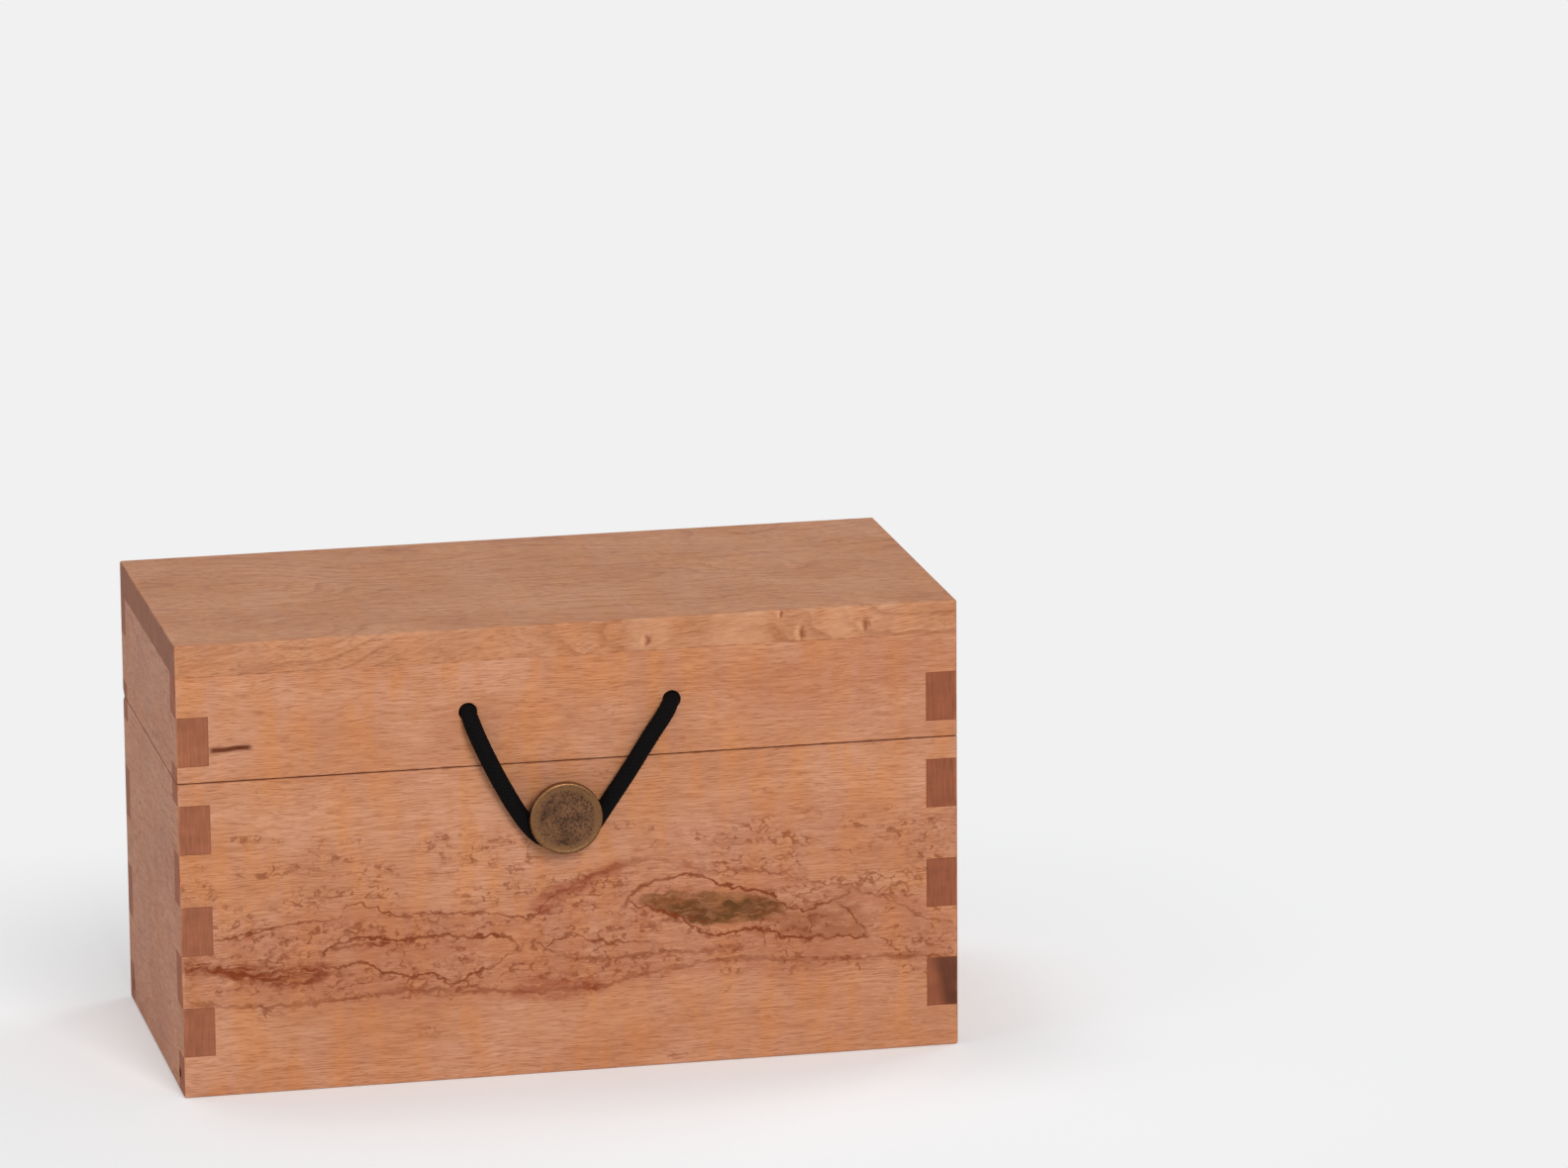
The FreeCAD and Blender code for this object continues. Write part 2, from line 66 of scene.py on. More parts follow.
def corners(node: str) -> list[list[float]]:
    """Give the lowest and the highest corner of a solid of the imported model, in millimetres."""
    return np.round(np.array(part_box(node)) / MM, 2).tolist()


(_, FRONT, SHOULDER), (HALF_WIDTH, BACK, TOP) = corners("lid_top")
RIM = corners("body_front")[1][2]
LID_RIM = corners("lid_front")[0][2]
WALL = round(corners("body_front")[1][1] - FRONT, 2)
BUTTON_X, _, BUTTON_Z = np.mean(corners("button"), axis=0).round(2).tolist()
# Finger joints: foot of the lowest finger, pitch, height of a finger, and foot of the lid's finger
FINGER_FIRST, FINGER_PITCH, FINGER_HEIGHT, FINGER_LID = 10.4, 25.4, 12.3, 83.2


def paint(red: int, green: int, blue: int) -> Colour:
    """Turn a colour as seen on a screen into the linear colour that a shader takes.

    Args:
        red: red from 0 to 255.
        green: green from 0 to 255.
        blue: blue from 0 to 255.

    Returns:
        The linear colour, opaque.
    """
    shares = [channel / 255 for channel in (red, green, blue)]
    linear = [s / 12.92 if s <= 0.04045 else ((s + 0.055) / 1.055) ** 2.4 for s in shares]
    return (*linear, 1.0)


class Fibres(Enum):
    """The direction in which a board's fibres run."""

    ALONG_X = "x"
    ALONG_Y = "y"


class Kind(Enum):
    """What a socket of a shared effect carries."""

    VALUE = "NodeSocketFloat"
    VECTOR = "NodeSocketVector"


class Wiring:
    """A node tree in the making, with one short call for each kind of node."""

    def __init__(self, tree: bpy.types.NodeTree) -> None:
        """Take the tree that gets the nodes."""
        self.tree = tree

    def add(self, kind: str, **settings: object) -> bpy.types.Node:
        """Add a node.

        Args:
            kind: Blender's name for the type of node.
            settings: properties of the node.

        Returns:
            The new node.
        """
        node = self.tree.nodes.new(kind)
        for name, value in settings.items():
            setattr(node, name, value)
        return node

    def feed(self, socket: Socket, value: Feed) -> None:
        """Link a socket to another one, or set its own value.

        Args:
            socket: the socket that takes the value.
            value: another socket, or a plain value.
        """
        if isinstance(value, Socket):
            self.tree.links.new(value, socket)
        else:
            socket.default_value = value

    def math(self, operation: str, *terms: Feed) -> Socket:
        """Work out a number.

        Args:
            operation: Blender's name for the operation.
            terms: its one to three terms.

        Returns:
            The result.
        """
        node = self.add("ShaderNodeMath", operation=operation)
        for socket, term in zip(node.inputs, terms):
            self.feed(socket, term)
        return node.outputs[0]

    def vector(self, operation: str, *terms: Feed) -> Socket:
        """Work out a vector.

        Args:
            operation: Blender's name for the operation.
            terms: its one or two vectors.

        Returns:
            The result.
        """
        node = self.add("ShaderNodeVectorMath", operation=operation)
        for socket, term in zip(node.inputs, terms):
            self.feed(socket, term)
        return node.outputs["Vector"]

    def split(self, vector: Feed) -> tuple[Socket, Socket, Socket]:
        """Take a vector apart.

        Args:
            vector: the vector.

        Returns:
            Its three parts.
        """
        node = self.add("ShaderNodeSeparateXYZ")
        self.feed(node.inputs[0], vector)
        return tuple(node.outputs)

    def join(self, x: Feed, y: Feed, z: Feed) -> Socket:
        """Put a vector together.

        Args:
            x: first part.
            y: second part.
            z: third part.

        Returns:
            The vector.
        """
        node = self.add("ShaderNodeCombineXYZ")
        for socket, part in zip(node.inputs, (x, y, z)):
            self.feed(socket, part)
        return node.outputs[0]

    def ease(self, value: Feed, low: Feed, high: Feed, start: Feed = 0.0, end: Feed = 1.0) -> Socket:
        """Go smoothly from one number to another while a value crosses a range.

        Args:
            value: the value to follow.
            low: where the range begins.
            high: where the range ends.
            start: result at the beginning.
            end: result at the end.

        Returns:
            The eased number.
        """
        node = self.add("ShaderNodeMapRange", interpolation_type="SMOOTHSTEP")
        for socket, term in zip(node.inputs, (value, low, high, start, end)):
            self.feed(socket, term)
        return node.outputs["Result"]

    def between(self, value: Feed, first: float, last: float, fade: float) -> Socket:
        """Give 1 between two places, faded out at both.

        Args:
            value: the place.
            first: where the stretch begins.
            last: where it ends.
            fade: length of each fade, a quarter of which lies outside the stretch.

        Returns:
            The stretch's mask.
        """
        outer, inner = 0.25 * fade, 0.75 * fade
        rise = self.ease(value, first - outer, first + inner)
        return self.math("MULTIPLY", rise, self.ease(value, last + outer, last - inner))

    def lumps(self, place: Feed, size: tuple, detail: float, swirl: float) -> bpy.types.NodeOutputs:
        """Add cloudy noise with lumps of a given size.

        Args:
            place: where the surface is, in millimetres.
            size: length of a lump along each axis, in millimetres.
            detail: number of finer layers.
            swirl: how far the lumps are curled.

        Returns:
            The noise's outputs.
        """
        node = self.add("ShaderNodeTexNoise")
        node.inputs["Scale"].default_value = 1.0
        node.inputs["Detail"].default_value = detail
        node.inputs["Distortion"].default_value = swirl
        self.feed(node.inputs["Vector"], self.vector("DIVIDE", place, size))
        return node.outputs

    def noise(self, place: Feed, size: tuple, detail: float = 2.0, swirl: float = 0.0) -> Socket:
        """Give noise as a number round one half; the arguments are those of lumps."""
        return self.lumps(place, size, detail, swirl)["Fac"]

    def stray(self, place: Feed, size: tuple, amount: float) -> Socket:
        """Shift a place by noise, so that lines drawn there curl.

        Args:
            place: where the surface is, in millimetres.
            size: length of a lump of the noise along each axis, in millimetres.
            amount: shift for the noise's whole swing, in millimetres.

        Returns:
            The shifted place.
        """
        swing = self.vector("SUBTRACT", self.lumps(place, size, 2.0, 0.0)["Color"], (0.5, 0.5, 0.5))
        return self.vector("MULTIPLY_ADD", swing, (amount, amount, amount), place)

    def blend(self, factor: Feed, first: Feed, second: Feed, mode: str = "MIX") -> Socket:
        """Mix two colours.

        Args:
            factor: share of the second colour.
            first: colour below.
            second: colour above.
            mode: Blender's name for the way of mixing.

        Returns:
            The mixed colour.
        """
        node = self.add("ShaderNodeMix", data_type="RGBA", blend_type=mode)
        for index, value in ((0, factor), (6, first), (7, second)):
            self.feed(node.inputs[index], value)
        return node.outputs[2]

    def curve(self, value: Feed, line: Line) -> Socket:
        """Look a number up on a smooth line through given points.

        Args:
            value: where to look, in the units of the line's first column.
            line: points from left to right.

        Returns:
            The height of the line there, in the units of its second column.
        """
        points = np.array(line)
        low, span = points.min(0), np.ptp(points, axis=0)
        span[1] = span[1] or 1.0
        shares = (points - low) / span
        node = self.add("ShaderNodeFloatCurve")
        path = node.mapping.curves[0]
        path.points[0].location = shares[0]
        path.points[-1].location = shares[-1]
        for x, y in shares[1:-1]:
            path.points.new(x, y)
        node.mapping.update()
        share = self.math("DIVIDE", self.math("SUBTRACT", value, float(low[0])), float(span[0]))
        self.feed(node.inputs["Value"], share)
        return self.math("MULTIPLY_ADD", node.outputs[0], float(span[1]), float(low[1]))

    def use(self, effect: bpy.types.NodeTree, **inputs: Feed) -> bpy.types.NodeOutputs:
        """Place a shared effect.

        Args:
            effect: the effect's node group.
            inputs: what it gets, by name.

        Returns:
            The outputs of the placed group.
        """
        node = self.add("ShaderNodeGroup", node_tree=effect)
        for name, value in inputs.items():
            self.feed(node.inputs[name], value)
        return node.outputs

    def millimetres(self) -> Socket:
        """Give the place on the object in millimetres."""
        coordinates = self.add("ShaderNodeTexCoord")
        return self.vector("MULTIPLY", coordinates.outputs["Object"], (1 / MM, 1 / MM, 1 / MM))

    def strongest(self, *masks: Feed) -> Socket:
        """Join masks by taking the strongest at each place.

        Args:
            masks: two masks or more.

        Returns:
            The joined mask.
        """
        joined = masks[0]
        for mask in masks[1:]:
            joined = self.math("MAXIMUM", joined, mask)
        return joined


class Effect:
    """A shared shader node group in the making."""

    def __init__(self, name: str, takes: dict[str, Kind], gives: dict[str, Kind]) -> None:
        """Open a group with named inputs and outputs.

        Args:
            name: name of the group.
            takes: kind of each input.
            gives: kind of each output.
        """
        self.group = bpy.data.node_groups.new(name, "ShaderNodeTree")
        for label, kind in takes.items():
            self.group.interface.new_socket(name=label, in_out="INPUT", socket_type=kind.value)
        for label, kind in gives.items():
            self.group.interface.new_socket(name=label, in_out="OUTPUT", socket_type=kind.value)
        self.wiring = Wiring(self.group)
        self.taken = self.wiring.add("NodeGroupInput").outputs
        self.given = self.wiring.add("NodeGroupOutput").inputs

    def give(self, **values: Feed) -> bpy.types.NodeTree:
        """Connect the outputs.

        Args:
            values: what each output gives, by name.

        Returns:
            The finished group.
        """
        for name, value in values.items():
            self.wiring.feed(self.given[name], value)
        return self.group


class SharedEffects:
    """The effects that more than one finish uses, each built once."""

    def __init__(self) -> None:
        """Build all of them."""
        self.grain = self.plank_grain()
        self.rings = self.growth_rings()
        self.curls = self.curly_figure()
        self.edges = self.rubbed_and_highlit_edges()
        self.joints = self.joint_lines_and_gap_shade()
        self.eye = self.bird_eye()
        self.patina = self.metal_patina()

    @staticmethod
    def plank_grain() -> bpy.types.NodeTree:
        """Build the fibres, streaks, pores, clouds and cross shimmer of a plank, with its fibres along X.

        Returns:
            The finished group.
        """
        effect = Effect(
            "Plank Grain",
            {"Place": Kind.VECTOR},
            {name: Kind.VALUE for name in ("Fibre", "Streak", "Pore", "Cloud", "Shimmer")},
        )
        w, place = effect.wiring, effect.taken["Place"]
        wander = w.noise(place, (22.0, 18.0, 12.0), 1.0)
        x, y, z = w.split(place)
        waved = w.join(x, w.math("MULTIPLY_ADD", wander, 3.0, y), w.math("MULTIPLY_ADD", wander, 2.4, z))
        return effect.give(
            Fibre=w.ease(w.noise(waved, (8.0, 0.42, 0.32), 3.0), 0.3, 0.7),
            Streak=w.ease(w.noise(waved, (26.0, 2.4, 1.8), 2.0), 0.32, 0.68),
            Pore=w.ease(w.noise(waved, (3.4, 0.34, 0.26), 1.0), 0.53, 0.67),
            Cloud=w.ease(w.noise(place, (34.0, 24.0, 15.0), 2.0), 0.32, 0.68),
            Shimmer=w.ease(w.noise(place, (6.0, 20.0, 24.0), 3.0), 0.4, 0.68),
        )

    @staticmethod
    def growth_rings() -> bpy.types.NodeTree:
        """Build the thin lines of yearly growth: level steps across the fibres, bent by wide slow noise.

        Returns:
            The finished group.
        """
        effect = Effect(
            "Growth Rings", {"Place": Kind.VECTOR, "Pitch": Kind.VALUE}, {"Ring": Kind.VALUE}
        )
        w, place = effect.wiring, effect.taken["Place"]
        _, y, z = w.split(place)
        slow = w.noise(place, (75.0, 32.0, 32.0), 1.0, 0.3)
        quick = w.noise(place, (6.0, 3.0, 3.0), 2.0)
        bent = w.math("MULTIPLY_ADD", slow, 64.0, w.math("ADD", y, z))
        level = w.math("DIVIDE", w.math("MULTIPLY_ADD", quick, 2.4, bent), effect.taken["Pitch"])
        share = w.math("FRACT", level)
        line = w.math("MULTIPLY", w.ease(share, 0.6, 0.93), w.ease(share, 1.0, 0.95))
        faint = w.ease(w.noise(place, (28.0, 12.0, 12.0)), 0.36, 0.62, 0.15, 1.0)
        return effect.give(Ring=w.math("MULTIPLY", line, faint))

    @staticmethod
    def curly_figure() -> bpy.types.NodeTree:
        """Build short curled lines and specks; more Density lets more of them through.

        Returns:
            The finished group.
        """
        effect = Effect(
            "Curly Figure",
            {"Place": Kind.VECTOR, "Density": Kind.VALUE},
            {"Curl": Kind.VALUE, "Speck": Kind.VALUE},
        )
        w, place = effect.wiring, effect.taken["Place"]
        curled = w.stray(place, (2.2, 2.2, 1.8), 2.2)
        ridge = w.math("ABSOLUTE", w.math("SUBTRACT", w.noise(curled, (2.9, 2.4, 1.9), 1.0), 0.5))
        patches = w.noise(place, (12.0, 8.0, 5.0), 3.0)
        limit = w.math("MULTIPLY_ADD", effect.taken["Density"], -0.36, 0.72)
        gate = w.ease(patches, limit, w.math("ADD", limit, 0.16))
        bits = w.ease(w.noise(curled, (1.9, 1.5, 1.1), 1.0), 0.52, 0.68)
        broken = w.ease(w.noise(place, (2.4, 2.4, 1.7), 1.0), 0.42, 0.58)
        arcs = w.math("MULTIPLY", w.ease(ridge, 0.1, 0.02), broken)
        return effect.give(Curl=w.math("MULTIPLY", gate, arcs), Speck=w.math("MULTIPLY", gate, bits))

    @staticmethod
    def depths(w: Wiring, x: Feed, y: Feed) -> tuple[Socket, Socket]:
        """Measure how far a place lies in from the box's outer faces.

        Args:
            w: wiring of the effect.
            x: place along the box.
            y: place from front to back.

        Returns:
            The way to the nearer end, and the way to the front or the back, whichever is nearer.
        """
        from_end = w.math("SUBTRACT", HALF_WIDTH, w.math("ABSOLUTE", x))
        from_front = w.math("MINIMUM", w.math("SUBTRACT", y, FRONT), w.math("SUBTRACT", BACK, y))
        return from_end, from_front

    @staticmethod
    def rubbed_and_highlit_edges() -> bpy.types.NodeTree:
        """Build a broken band along the box's outer edges, partly rubbed wood and partly a painted highlight
        where the rounded edges catch light, and a mask of what lies inside it.

        On a face one of the distances to the outer faces is nothing, so the least sum of two distances is
        the way to the nearest edge.

        Returns:
            The finished group.
        """
        effect = Effect("Rubbed And Highlit Edges", {"Place": Kind.VECTOR}, {"Wear": Kind.VALUE, "Inside": Kind.VALUE})
        w, place = effect.wiring, effect.taken["Place"]
        x, y, z = w.split(place)
        off_x, off_y = SharedEffects.depths(w, x, y)
        off_z = w.math("MINIMUM", z, w.math("SUBTRACT", TOP, z))
        sums = [w.math("ADD", a, b) for a, b in ((off_x, off_y), (off_y, off_z), (off_x, off_z))]
        near = w.math("MINIMUM", w.math("MINIMUM", sums[0], sums[1]), sums[2])
        reach = w.ease(w.noise(place, (7.0, 7.0, 7.0), 3.0), 0.3, 0.75, 0.25, 1.4)
        least = w.math("MINIMUM", w.math("MINIMUM", off_x, off_y), off_z)
        return effect.give(
            Wear=w.ease(near, reach, w.math("MULTIPLY", reach, 0.3)), Inside=w.ease(least, 3.0, 6.0)
        )

    @staticmethod
    def joint_lines_and_gap_shade() -> bpy.types.NodeTree:
        """Build the painted shade of the narrow gap at the parting cut between lid and body, and the dark
        lines of the glue seam under the top board and of the finger joints.

        Returns:
            The finished group.
        """
        effect = Effect(
            "Joint Lines And Gap Shade",
            {"Place": Kind.VECTOR},
            {"Saw": Kind.VALUE, "Seam": Kind.VALUE, "Finger": Kind.VALUE},
        )
        w, place = effect.wiring, effect.taken["Place"]
        x, y, z = w.split(place)
        ragged = w.noise(place, (3.2, 3.2, 3.2), 3.0)
        from_cut = w.math("ABSOLUTE", w.math("SUBTRACT", z, 0.5 * (RIM + LID_RIM)))
        # Painted shade of the narrow gap between lid and body: a dark ragged line along the parting cut.
        saw_gap_shade = w.ease(from_cut, w.ease(ragged, 0.35, 0.7, 0.2, 0.6), 0.12)
        from_seam = w.math("ABSOLUTE", w.math("SUBTRACT", z, SHOULDER))
        seam = w.math("MULTIPLY", w.ease(from_seam, 0.32, 0.08), w.ease(ragged, 0.4, 0.65))
        off_x, off_y = SharedEffects.depths(w, x, y)
        across = w.math("ABSOLUTE", w.math("SUBTRACT", w.math("MAXIMUM", off_x, off_y), WALL))
        low = w.math("FLOORED_MODULO", w.math("SUBTRACT", z, FINGER_FIRST), FINGER_PITCH)
        rise = w.math("SUBTRACT", w.math("SUBTRACT", z, FINGER_LID), low)
        height = w.math("MULTIPLY_ADD", w.ease(z, RIM, LID_RIM), rise, low)
        other_end = w.math("ABSOLUTE", w.math("SUBTRACT", height, FINGER_HEIGHT))
        ends = w.math("MINIMUM", w.math("ABSOLUTE", height), other_end)
        finger = w.ease(w.math("MINIMUM", across, ends), 0.3, 0.06)
        return effect.give(Saw=saw_gap_shade, Seam=seam, Finger=finger)

    @staticmethod
    def bird_eye() -> bpy.types.NodeTree:
        """Build one small eye: a dark crescent on the right of a pale core, fading round its middle.

        Returns:
            The finished group.
        """
        effect = Effect(
            "Bird Eye",
            {"Across": Kind.VALUE, "Up": Kind.VALUE, "Size": Kind.VALUE, "Place": Kind.VECTOR},
            {"Dark": Kind.VALUE, "Pale": Kind.VALUE},
        )
        w, taken = effect.wiring, effect.taken
        ragged = w.math("SUBTRACT", w.noise(taken["Place"], (1.3, 1.3, 1.3), 2.0), 0.5)
        across = w.math("DIVIDE", taken["Across"], taken["Size"])
        up = w.math("DIVIDE", taken["Up"], taken["Size"])
        ring = w.math("SQRT", w.math("MULTIPLY_ADD", across, across, w.math("MULTIPLY", up, up)))
        body = w.ease(w.math("MULTIPLY_ADD", ragged, 1.1, ring), 1.0, 0.35)
        side = w.ease(w.math("MULTIPLY_ADD", ragged, 0.8, across), -0.25, 0.3)
        dark = w.math("MULTIPLY", body, side)
        return effect.give(Dark=dark, Pale=w.math("SUBTRACT", body, dark))

    @staticmethod
    def metal_patina() -> bpy.types.NodeTree:
        """Build cloudy tarnish, fine specks and scratches for metal, with lumps of a given Size.

        Returns:
            The finished group.
        """
        effect = Effect(
            "Metal Patina",
            {"Place": Kind.VECTOR, "Size": Kind.VALUE},
            {"Tarnish": Kind.VALUE, "Speck": Kind.VALUE, "Scratch": Kind.VALUE},
        )
        w = effect.wiring
        size = w.join(effect.taken["Size"], effect.taken["Size"], effect.taken["Size"])
        place = w.vector("DIVIDE", effect.taken["Place"], size)
        level = w.noise(place, (2.6, 0.5, 0.12), 2.0, 0.2)
        upright = w.noise(place, (0.12, 0.5, 2.6), 2.0, 0.2)
        return effect.give(
            Tarnish=w.ease(w.noise(place, (3.4, 3.4, 3.4), 4.0, 0.4), 0.34, 0.66),
            Speck=w.ease(w.noise(place, (0.42, 0.42, 0.42), 2.0), 0.44, 0.64),
            Scratch=w.math("MAXIMUM", w.ease(level, 0.62, 0.72), w.ease(upright, 0.62, 0.72)),
        )


class Surface:
    """A new material with its wiring and its shader."""

    def __init__(self, name: str) -> None:
        """Open an empty material with one shader.

        Args:
            name: name of the material.
        """
        self.material = bpy.data.materials.new(name)
        self.material.use_nodes = True
        self.wiring = Wiring(self.material.node_tree)
        self.shader = self.material.node_tree.nodes["Principled BSDF"]

    def set(self, **values: Feed) -> None:
        """Set or link inputs of the shader, with an underscore for each space in a name."""
        for name, value in values.items():
            self.wiring.feed(self.shader.inputs[name.replace("_", " ")], value)

    def relief(self, height: Feed, depth: float, strength: float = 1.0) -> None:
        """Raise the surface by a height.

        Args:
            height: the height, from 0 to 1.
            depth: what a height of 1 is, in millimetres.
            strength: share of the relief that shows.
        """
        bump = self.wiring.add("ShaderNodeBump")
        bump.inputs["Strength"].default_value = strength
        bump.inputs["Distance"].default_value = depth * MM
        self.wiring.feed(bump.inputs["Height"], height)
        self.set(Normal=bump.outputs[0])


@dataclass(frozen=True)
class Vein:
    """A dark line in the wood's figure, as heights along the board.

    Its width is half of the whole one, and its core is the share of that which is fully dark.
    """

    line: Line
    width: float = 0.5
    strength: float = 0.6
    core: float = 0.2
    fade: float = 2.0

    def mask(self, w: Wiring, x: Feed, z: Feed) -> Socket:
        """Draw the line: strongest where the height on the board meets the line's own height.

        Args:
            w: wiring of the material.
            x: place along the board.
            z: height on the board.

        Returns:
            The line's mask.
        """
        away = w.math("ABSOLUTE", w.math("SUBTRACT", z, w.curve(x, self.line)))
        drawn = w.ease(away, self.width, self.core * self.width, 0.0, self.strength)
        return w.math("MULTIPLY", drawn, w.between(x, self.line[0][0], self.line[-1][0], self.fade))


@dataclass(frozen=True)
class Stain:
    """A tinted patch between an upper and a lower line.

    Its edges are soft by so many millimetres to both sides, and even is the share of its strength that is
    left where the wood mottles it most.
    """

    upper: Line
    lower: Line
    tint: Colour
    strength: float
    soft: float = 0.9
    even: float = 0.3
    fade: float = 4.0

    def mask(self, w: Wiring, x: Feed, z: Feed) -> Socket:
        """Fill the patch, with soft edges.

        Args:
            w: wiring of the material.
            x: place along the board.
            z: height on the board.

        Returns:
            The patch's mask.
        """
        below = w.ease(w.math("SUBTRACT", w.curve(x, self.upper), z), -self.soft, self.soft)
        above = w.ease(w.math("SUBTRACT", z, w.curve(x, self.lower)), -self.soft, self.soft)
        inside = w.between(x, self.upper[0][0], self.upper[-1][0], self.fade)
        filled = w.math("MULTIPLY", w.math("MULTIPLY", below, above), inside)
        return w.math("MULTIPLY", filled, self.strength)


@dataclass(frozen=True)
class Eye:
    """A small eye in the figure: its place along and up the front edge of a board, and its half size."""

    across: float
    up: float
    size: float = 2.2


@dataclass(frozen=True)
class WoodFinish:
    """Satin oiled wood with fine pores, its end grain darker.

    The colours come first, then the shares by which marks and lines show, then the board's own figure.
    """

    name: str
    fibres: Fibres
    pale: Colour
    deep: Colour
    end: Colour
    seed: tuple[float, float, float] = (0.0, 0.0, 0.0)
    # Tint of the bars across the fibres: the curly figure's tone, with its chatoyant sheen painted in.
    shimmer_tint: Colour = paint(208, 136, 83)
    pore: Colour = paint(152, 88, 56)
    vein: Colour = paint(123, 52, 17)
    # Colour of the glue lines at seam and fingers, and of the painted shade in the gap at the parting cut.
    joint_and_gap_shade: Colour = paint(122, 50, 10)
    # Lighter edges: partly rubbed wood, partly a painted highlight where the rounded edges catch light.
    rubbed: Colour = paint(228, 176, 138)
    inner: Colour = paint(206, 154, 116)
    eye_core: Colour = paint(226, 164, 124)
    fibre_low: Colour = (0.9, 0.84, 0.77, 1.0)
    fibre_high: Colour = (1.09, 1.14, 1.2, 1.0)
    shimmer: float = 0.4
    pores: float = 0.4
    streaks: float = 0.25
    marks: float = 0.4
    # Painted shade of the gap at the parting cut: on the front, and on the cut faces in the gap.
    saw_gap_shade_line: float = 0.5
    saw_gap_shade_face: float = 0.08
    seam_line: float = 0.4
    finger_line: float = 0.4
    # Share of the lighter edge band: rubbed wood with a painted highlight.
    edge_wear_and_highlight: float = 0.16
    inside: float = 0.3
    fibre_relief: float = 0.3
    pore_depth: float = 0.06
    roughness: tuple[float, float] = (0.5, 0.66)
    rougher: float = 0.1
    specular: float = 0.12
    density: float = 0.25
    rings: float = 0.0
    ring_pitch: float = 5.5
    lean_y: float = 0.0
    lean_z: float = 0.0
    eyes: tuple[Eye, ...] = ()
    bars: tuple[Stain, ...] = ()
    end_stains: tuple[Stain, ...] = ()

    def along(self, w: Wiring, place: Feed) -> Socket:
        """Turn a place so that the fibres run along X, with the board's lean and shifted by its seed.

        Args:
            w: wiring of the material.
            place: place on the object.

        Returns:
            The turned place.
        """
        x, y, z = w.split(place)
        if self.fibres is Fibres.ALONG_Y:
            x, y = y, x
        y = w.math("MULTIPLY_ADD", x, -self.lean_y, y)
        z = w.math("MULTIPLY_ADD", x, -self.lean_z, z)
        return w.vector("ADD", w.join(x, y, z), self.seed)

    def facing(self, w: Wiring) -> tuple[Socket, Socket]:
        """Find the faces that the fibres run out of, and the faces that look up or down.

        Args:
            w: wiring of the material.

        Returns:
            A mask that is 1 on end grain, and one that is 1 on level faces.
        """
        normal = w.split(w.add("ShaderNodeTexCoord").outputs["Normal"])
        out = normal[0 if self.fibres is Fibres.ALONG_X else 1]
        return w.ease(w.math("ABSOLUTE", out), 0.6, 0.8), w.ease(w.math("ABSOLUTE", normal[2]), 0.6, 0.8)

    def figure(self, w: Wiring, effects: SharedEffects, place: Feed, turned: Feed, colour: Feed) -> Socket:
        """Add the figure of an ordinary board: growth rings, and scattered curls and specks.

        Args:
            w: wiring of the material.
            effects: the shared effects.
            place: place on the object.
            turned: place with the fibres along X.
            colour: colour so far.

        Returns:
            The colour with the figure in it.
        """
        rings = w.use(effects.rings, Place=turned, Pitch=self.ring_pitch)["Ring"]
        curls = w.use(effects.curls, Place=turned, Density=self.density)
        lines = w.math("MULTIPLY", w.strongest(curls["Curl"], curls["Speck"]), self.marks)
        colour = w.blend(w.strongest(lines, w.math("MULTIPLY", rings, self.rings)), colour, self.vein)
        return self.edge_marks(w, effects, place, colour)

    def edge_marks(self, w: Wiring, effects: SharedEffects, place: Feed, colour: Feed) -> Socket:
        """Add the pale bars and the eyes of the board's front edge.

        Args:
            w: wiring of the material.
            effects: the shared effects.
            place: place on the object.
            colour: colour so far.

        Returns:
            The colour with the bars and eyes in it.
        """
        x, y, z = w.split(place)
        front = w.ease(y, FRONT + 1.2, FRONT + 0.2)
        for bar in self.bars:
            colour = w.blend(w.math("MULTIPLY", bar.mask(w, x, z), front), colour, bar.tint)
        for eye in self.eyes:
            across, up = w.math("SUBTRACT", x, eye.across), w.math("SUBTRACT", z, eye.up)
            drawn = w.use(effects.eye, Across=across, Up=up, Size=eye.size, Place=place)
            pale, dark = (w.math("MULTIPLY", drawn[name], front) for name in ("Pale", "Dark"))
            colour = w.blend(w.math("MULTIPLY", pale, 0.6), colour, self.eye_core)
            colour = w.blend(w.math("MULTIPLY", dark, 0.7), colour, self.vein)
        return colour

    def end_grain(self, w: Wiring, place: Feed) -> Feed:
        """Give the end grain's own colour, with fine upright lines and cloudy rings.

        Args:
            w: wiring of the material.
            place: place on the object.

        Returns:
            The colour.
        """
        x, _, z = w.split(place)
        rays = w.noise(place, (0.55, 0.55, 7.0), 3.0)
        rings = w.noise(place, (7.0, 7.0, 4.0), 3.0)
        tone = w.math("ADD", w.ease(rays, 0.3, 0.7, 0.86, 1.08), w.ease(rings, 0.3, 0.7, -0.08, 0.08))
        colour = w.blend(1.0, self.end, tone, "MULTIPLY")
        for stain in self.end_stains:
            streaked = w.math("MULTIPLY", stain.mask(w, x, z), w.ease(rays, 0.3, 0.6, 0.7, 1.0))
            colour = w.blend(streaked, colour, stain.tint)
        return colour

    def plain(self, w: Wiring, grain: bpy.types.NodeOutputs) -> Socket:
        """Colour the wood without its figure: clouds, shimmer and pores, shaded by the fibres.

        Args:
            w: wiring of the material.
            grain: outputs of the grain effect.

        Returns:
            The colour.
        """
        colour = w.blend(grain["Cloud"], self.pale, self.deep)
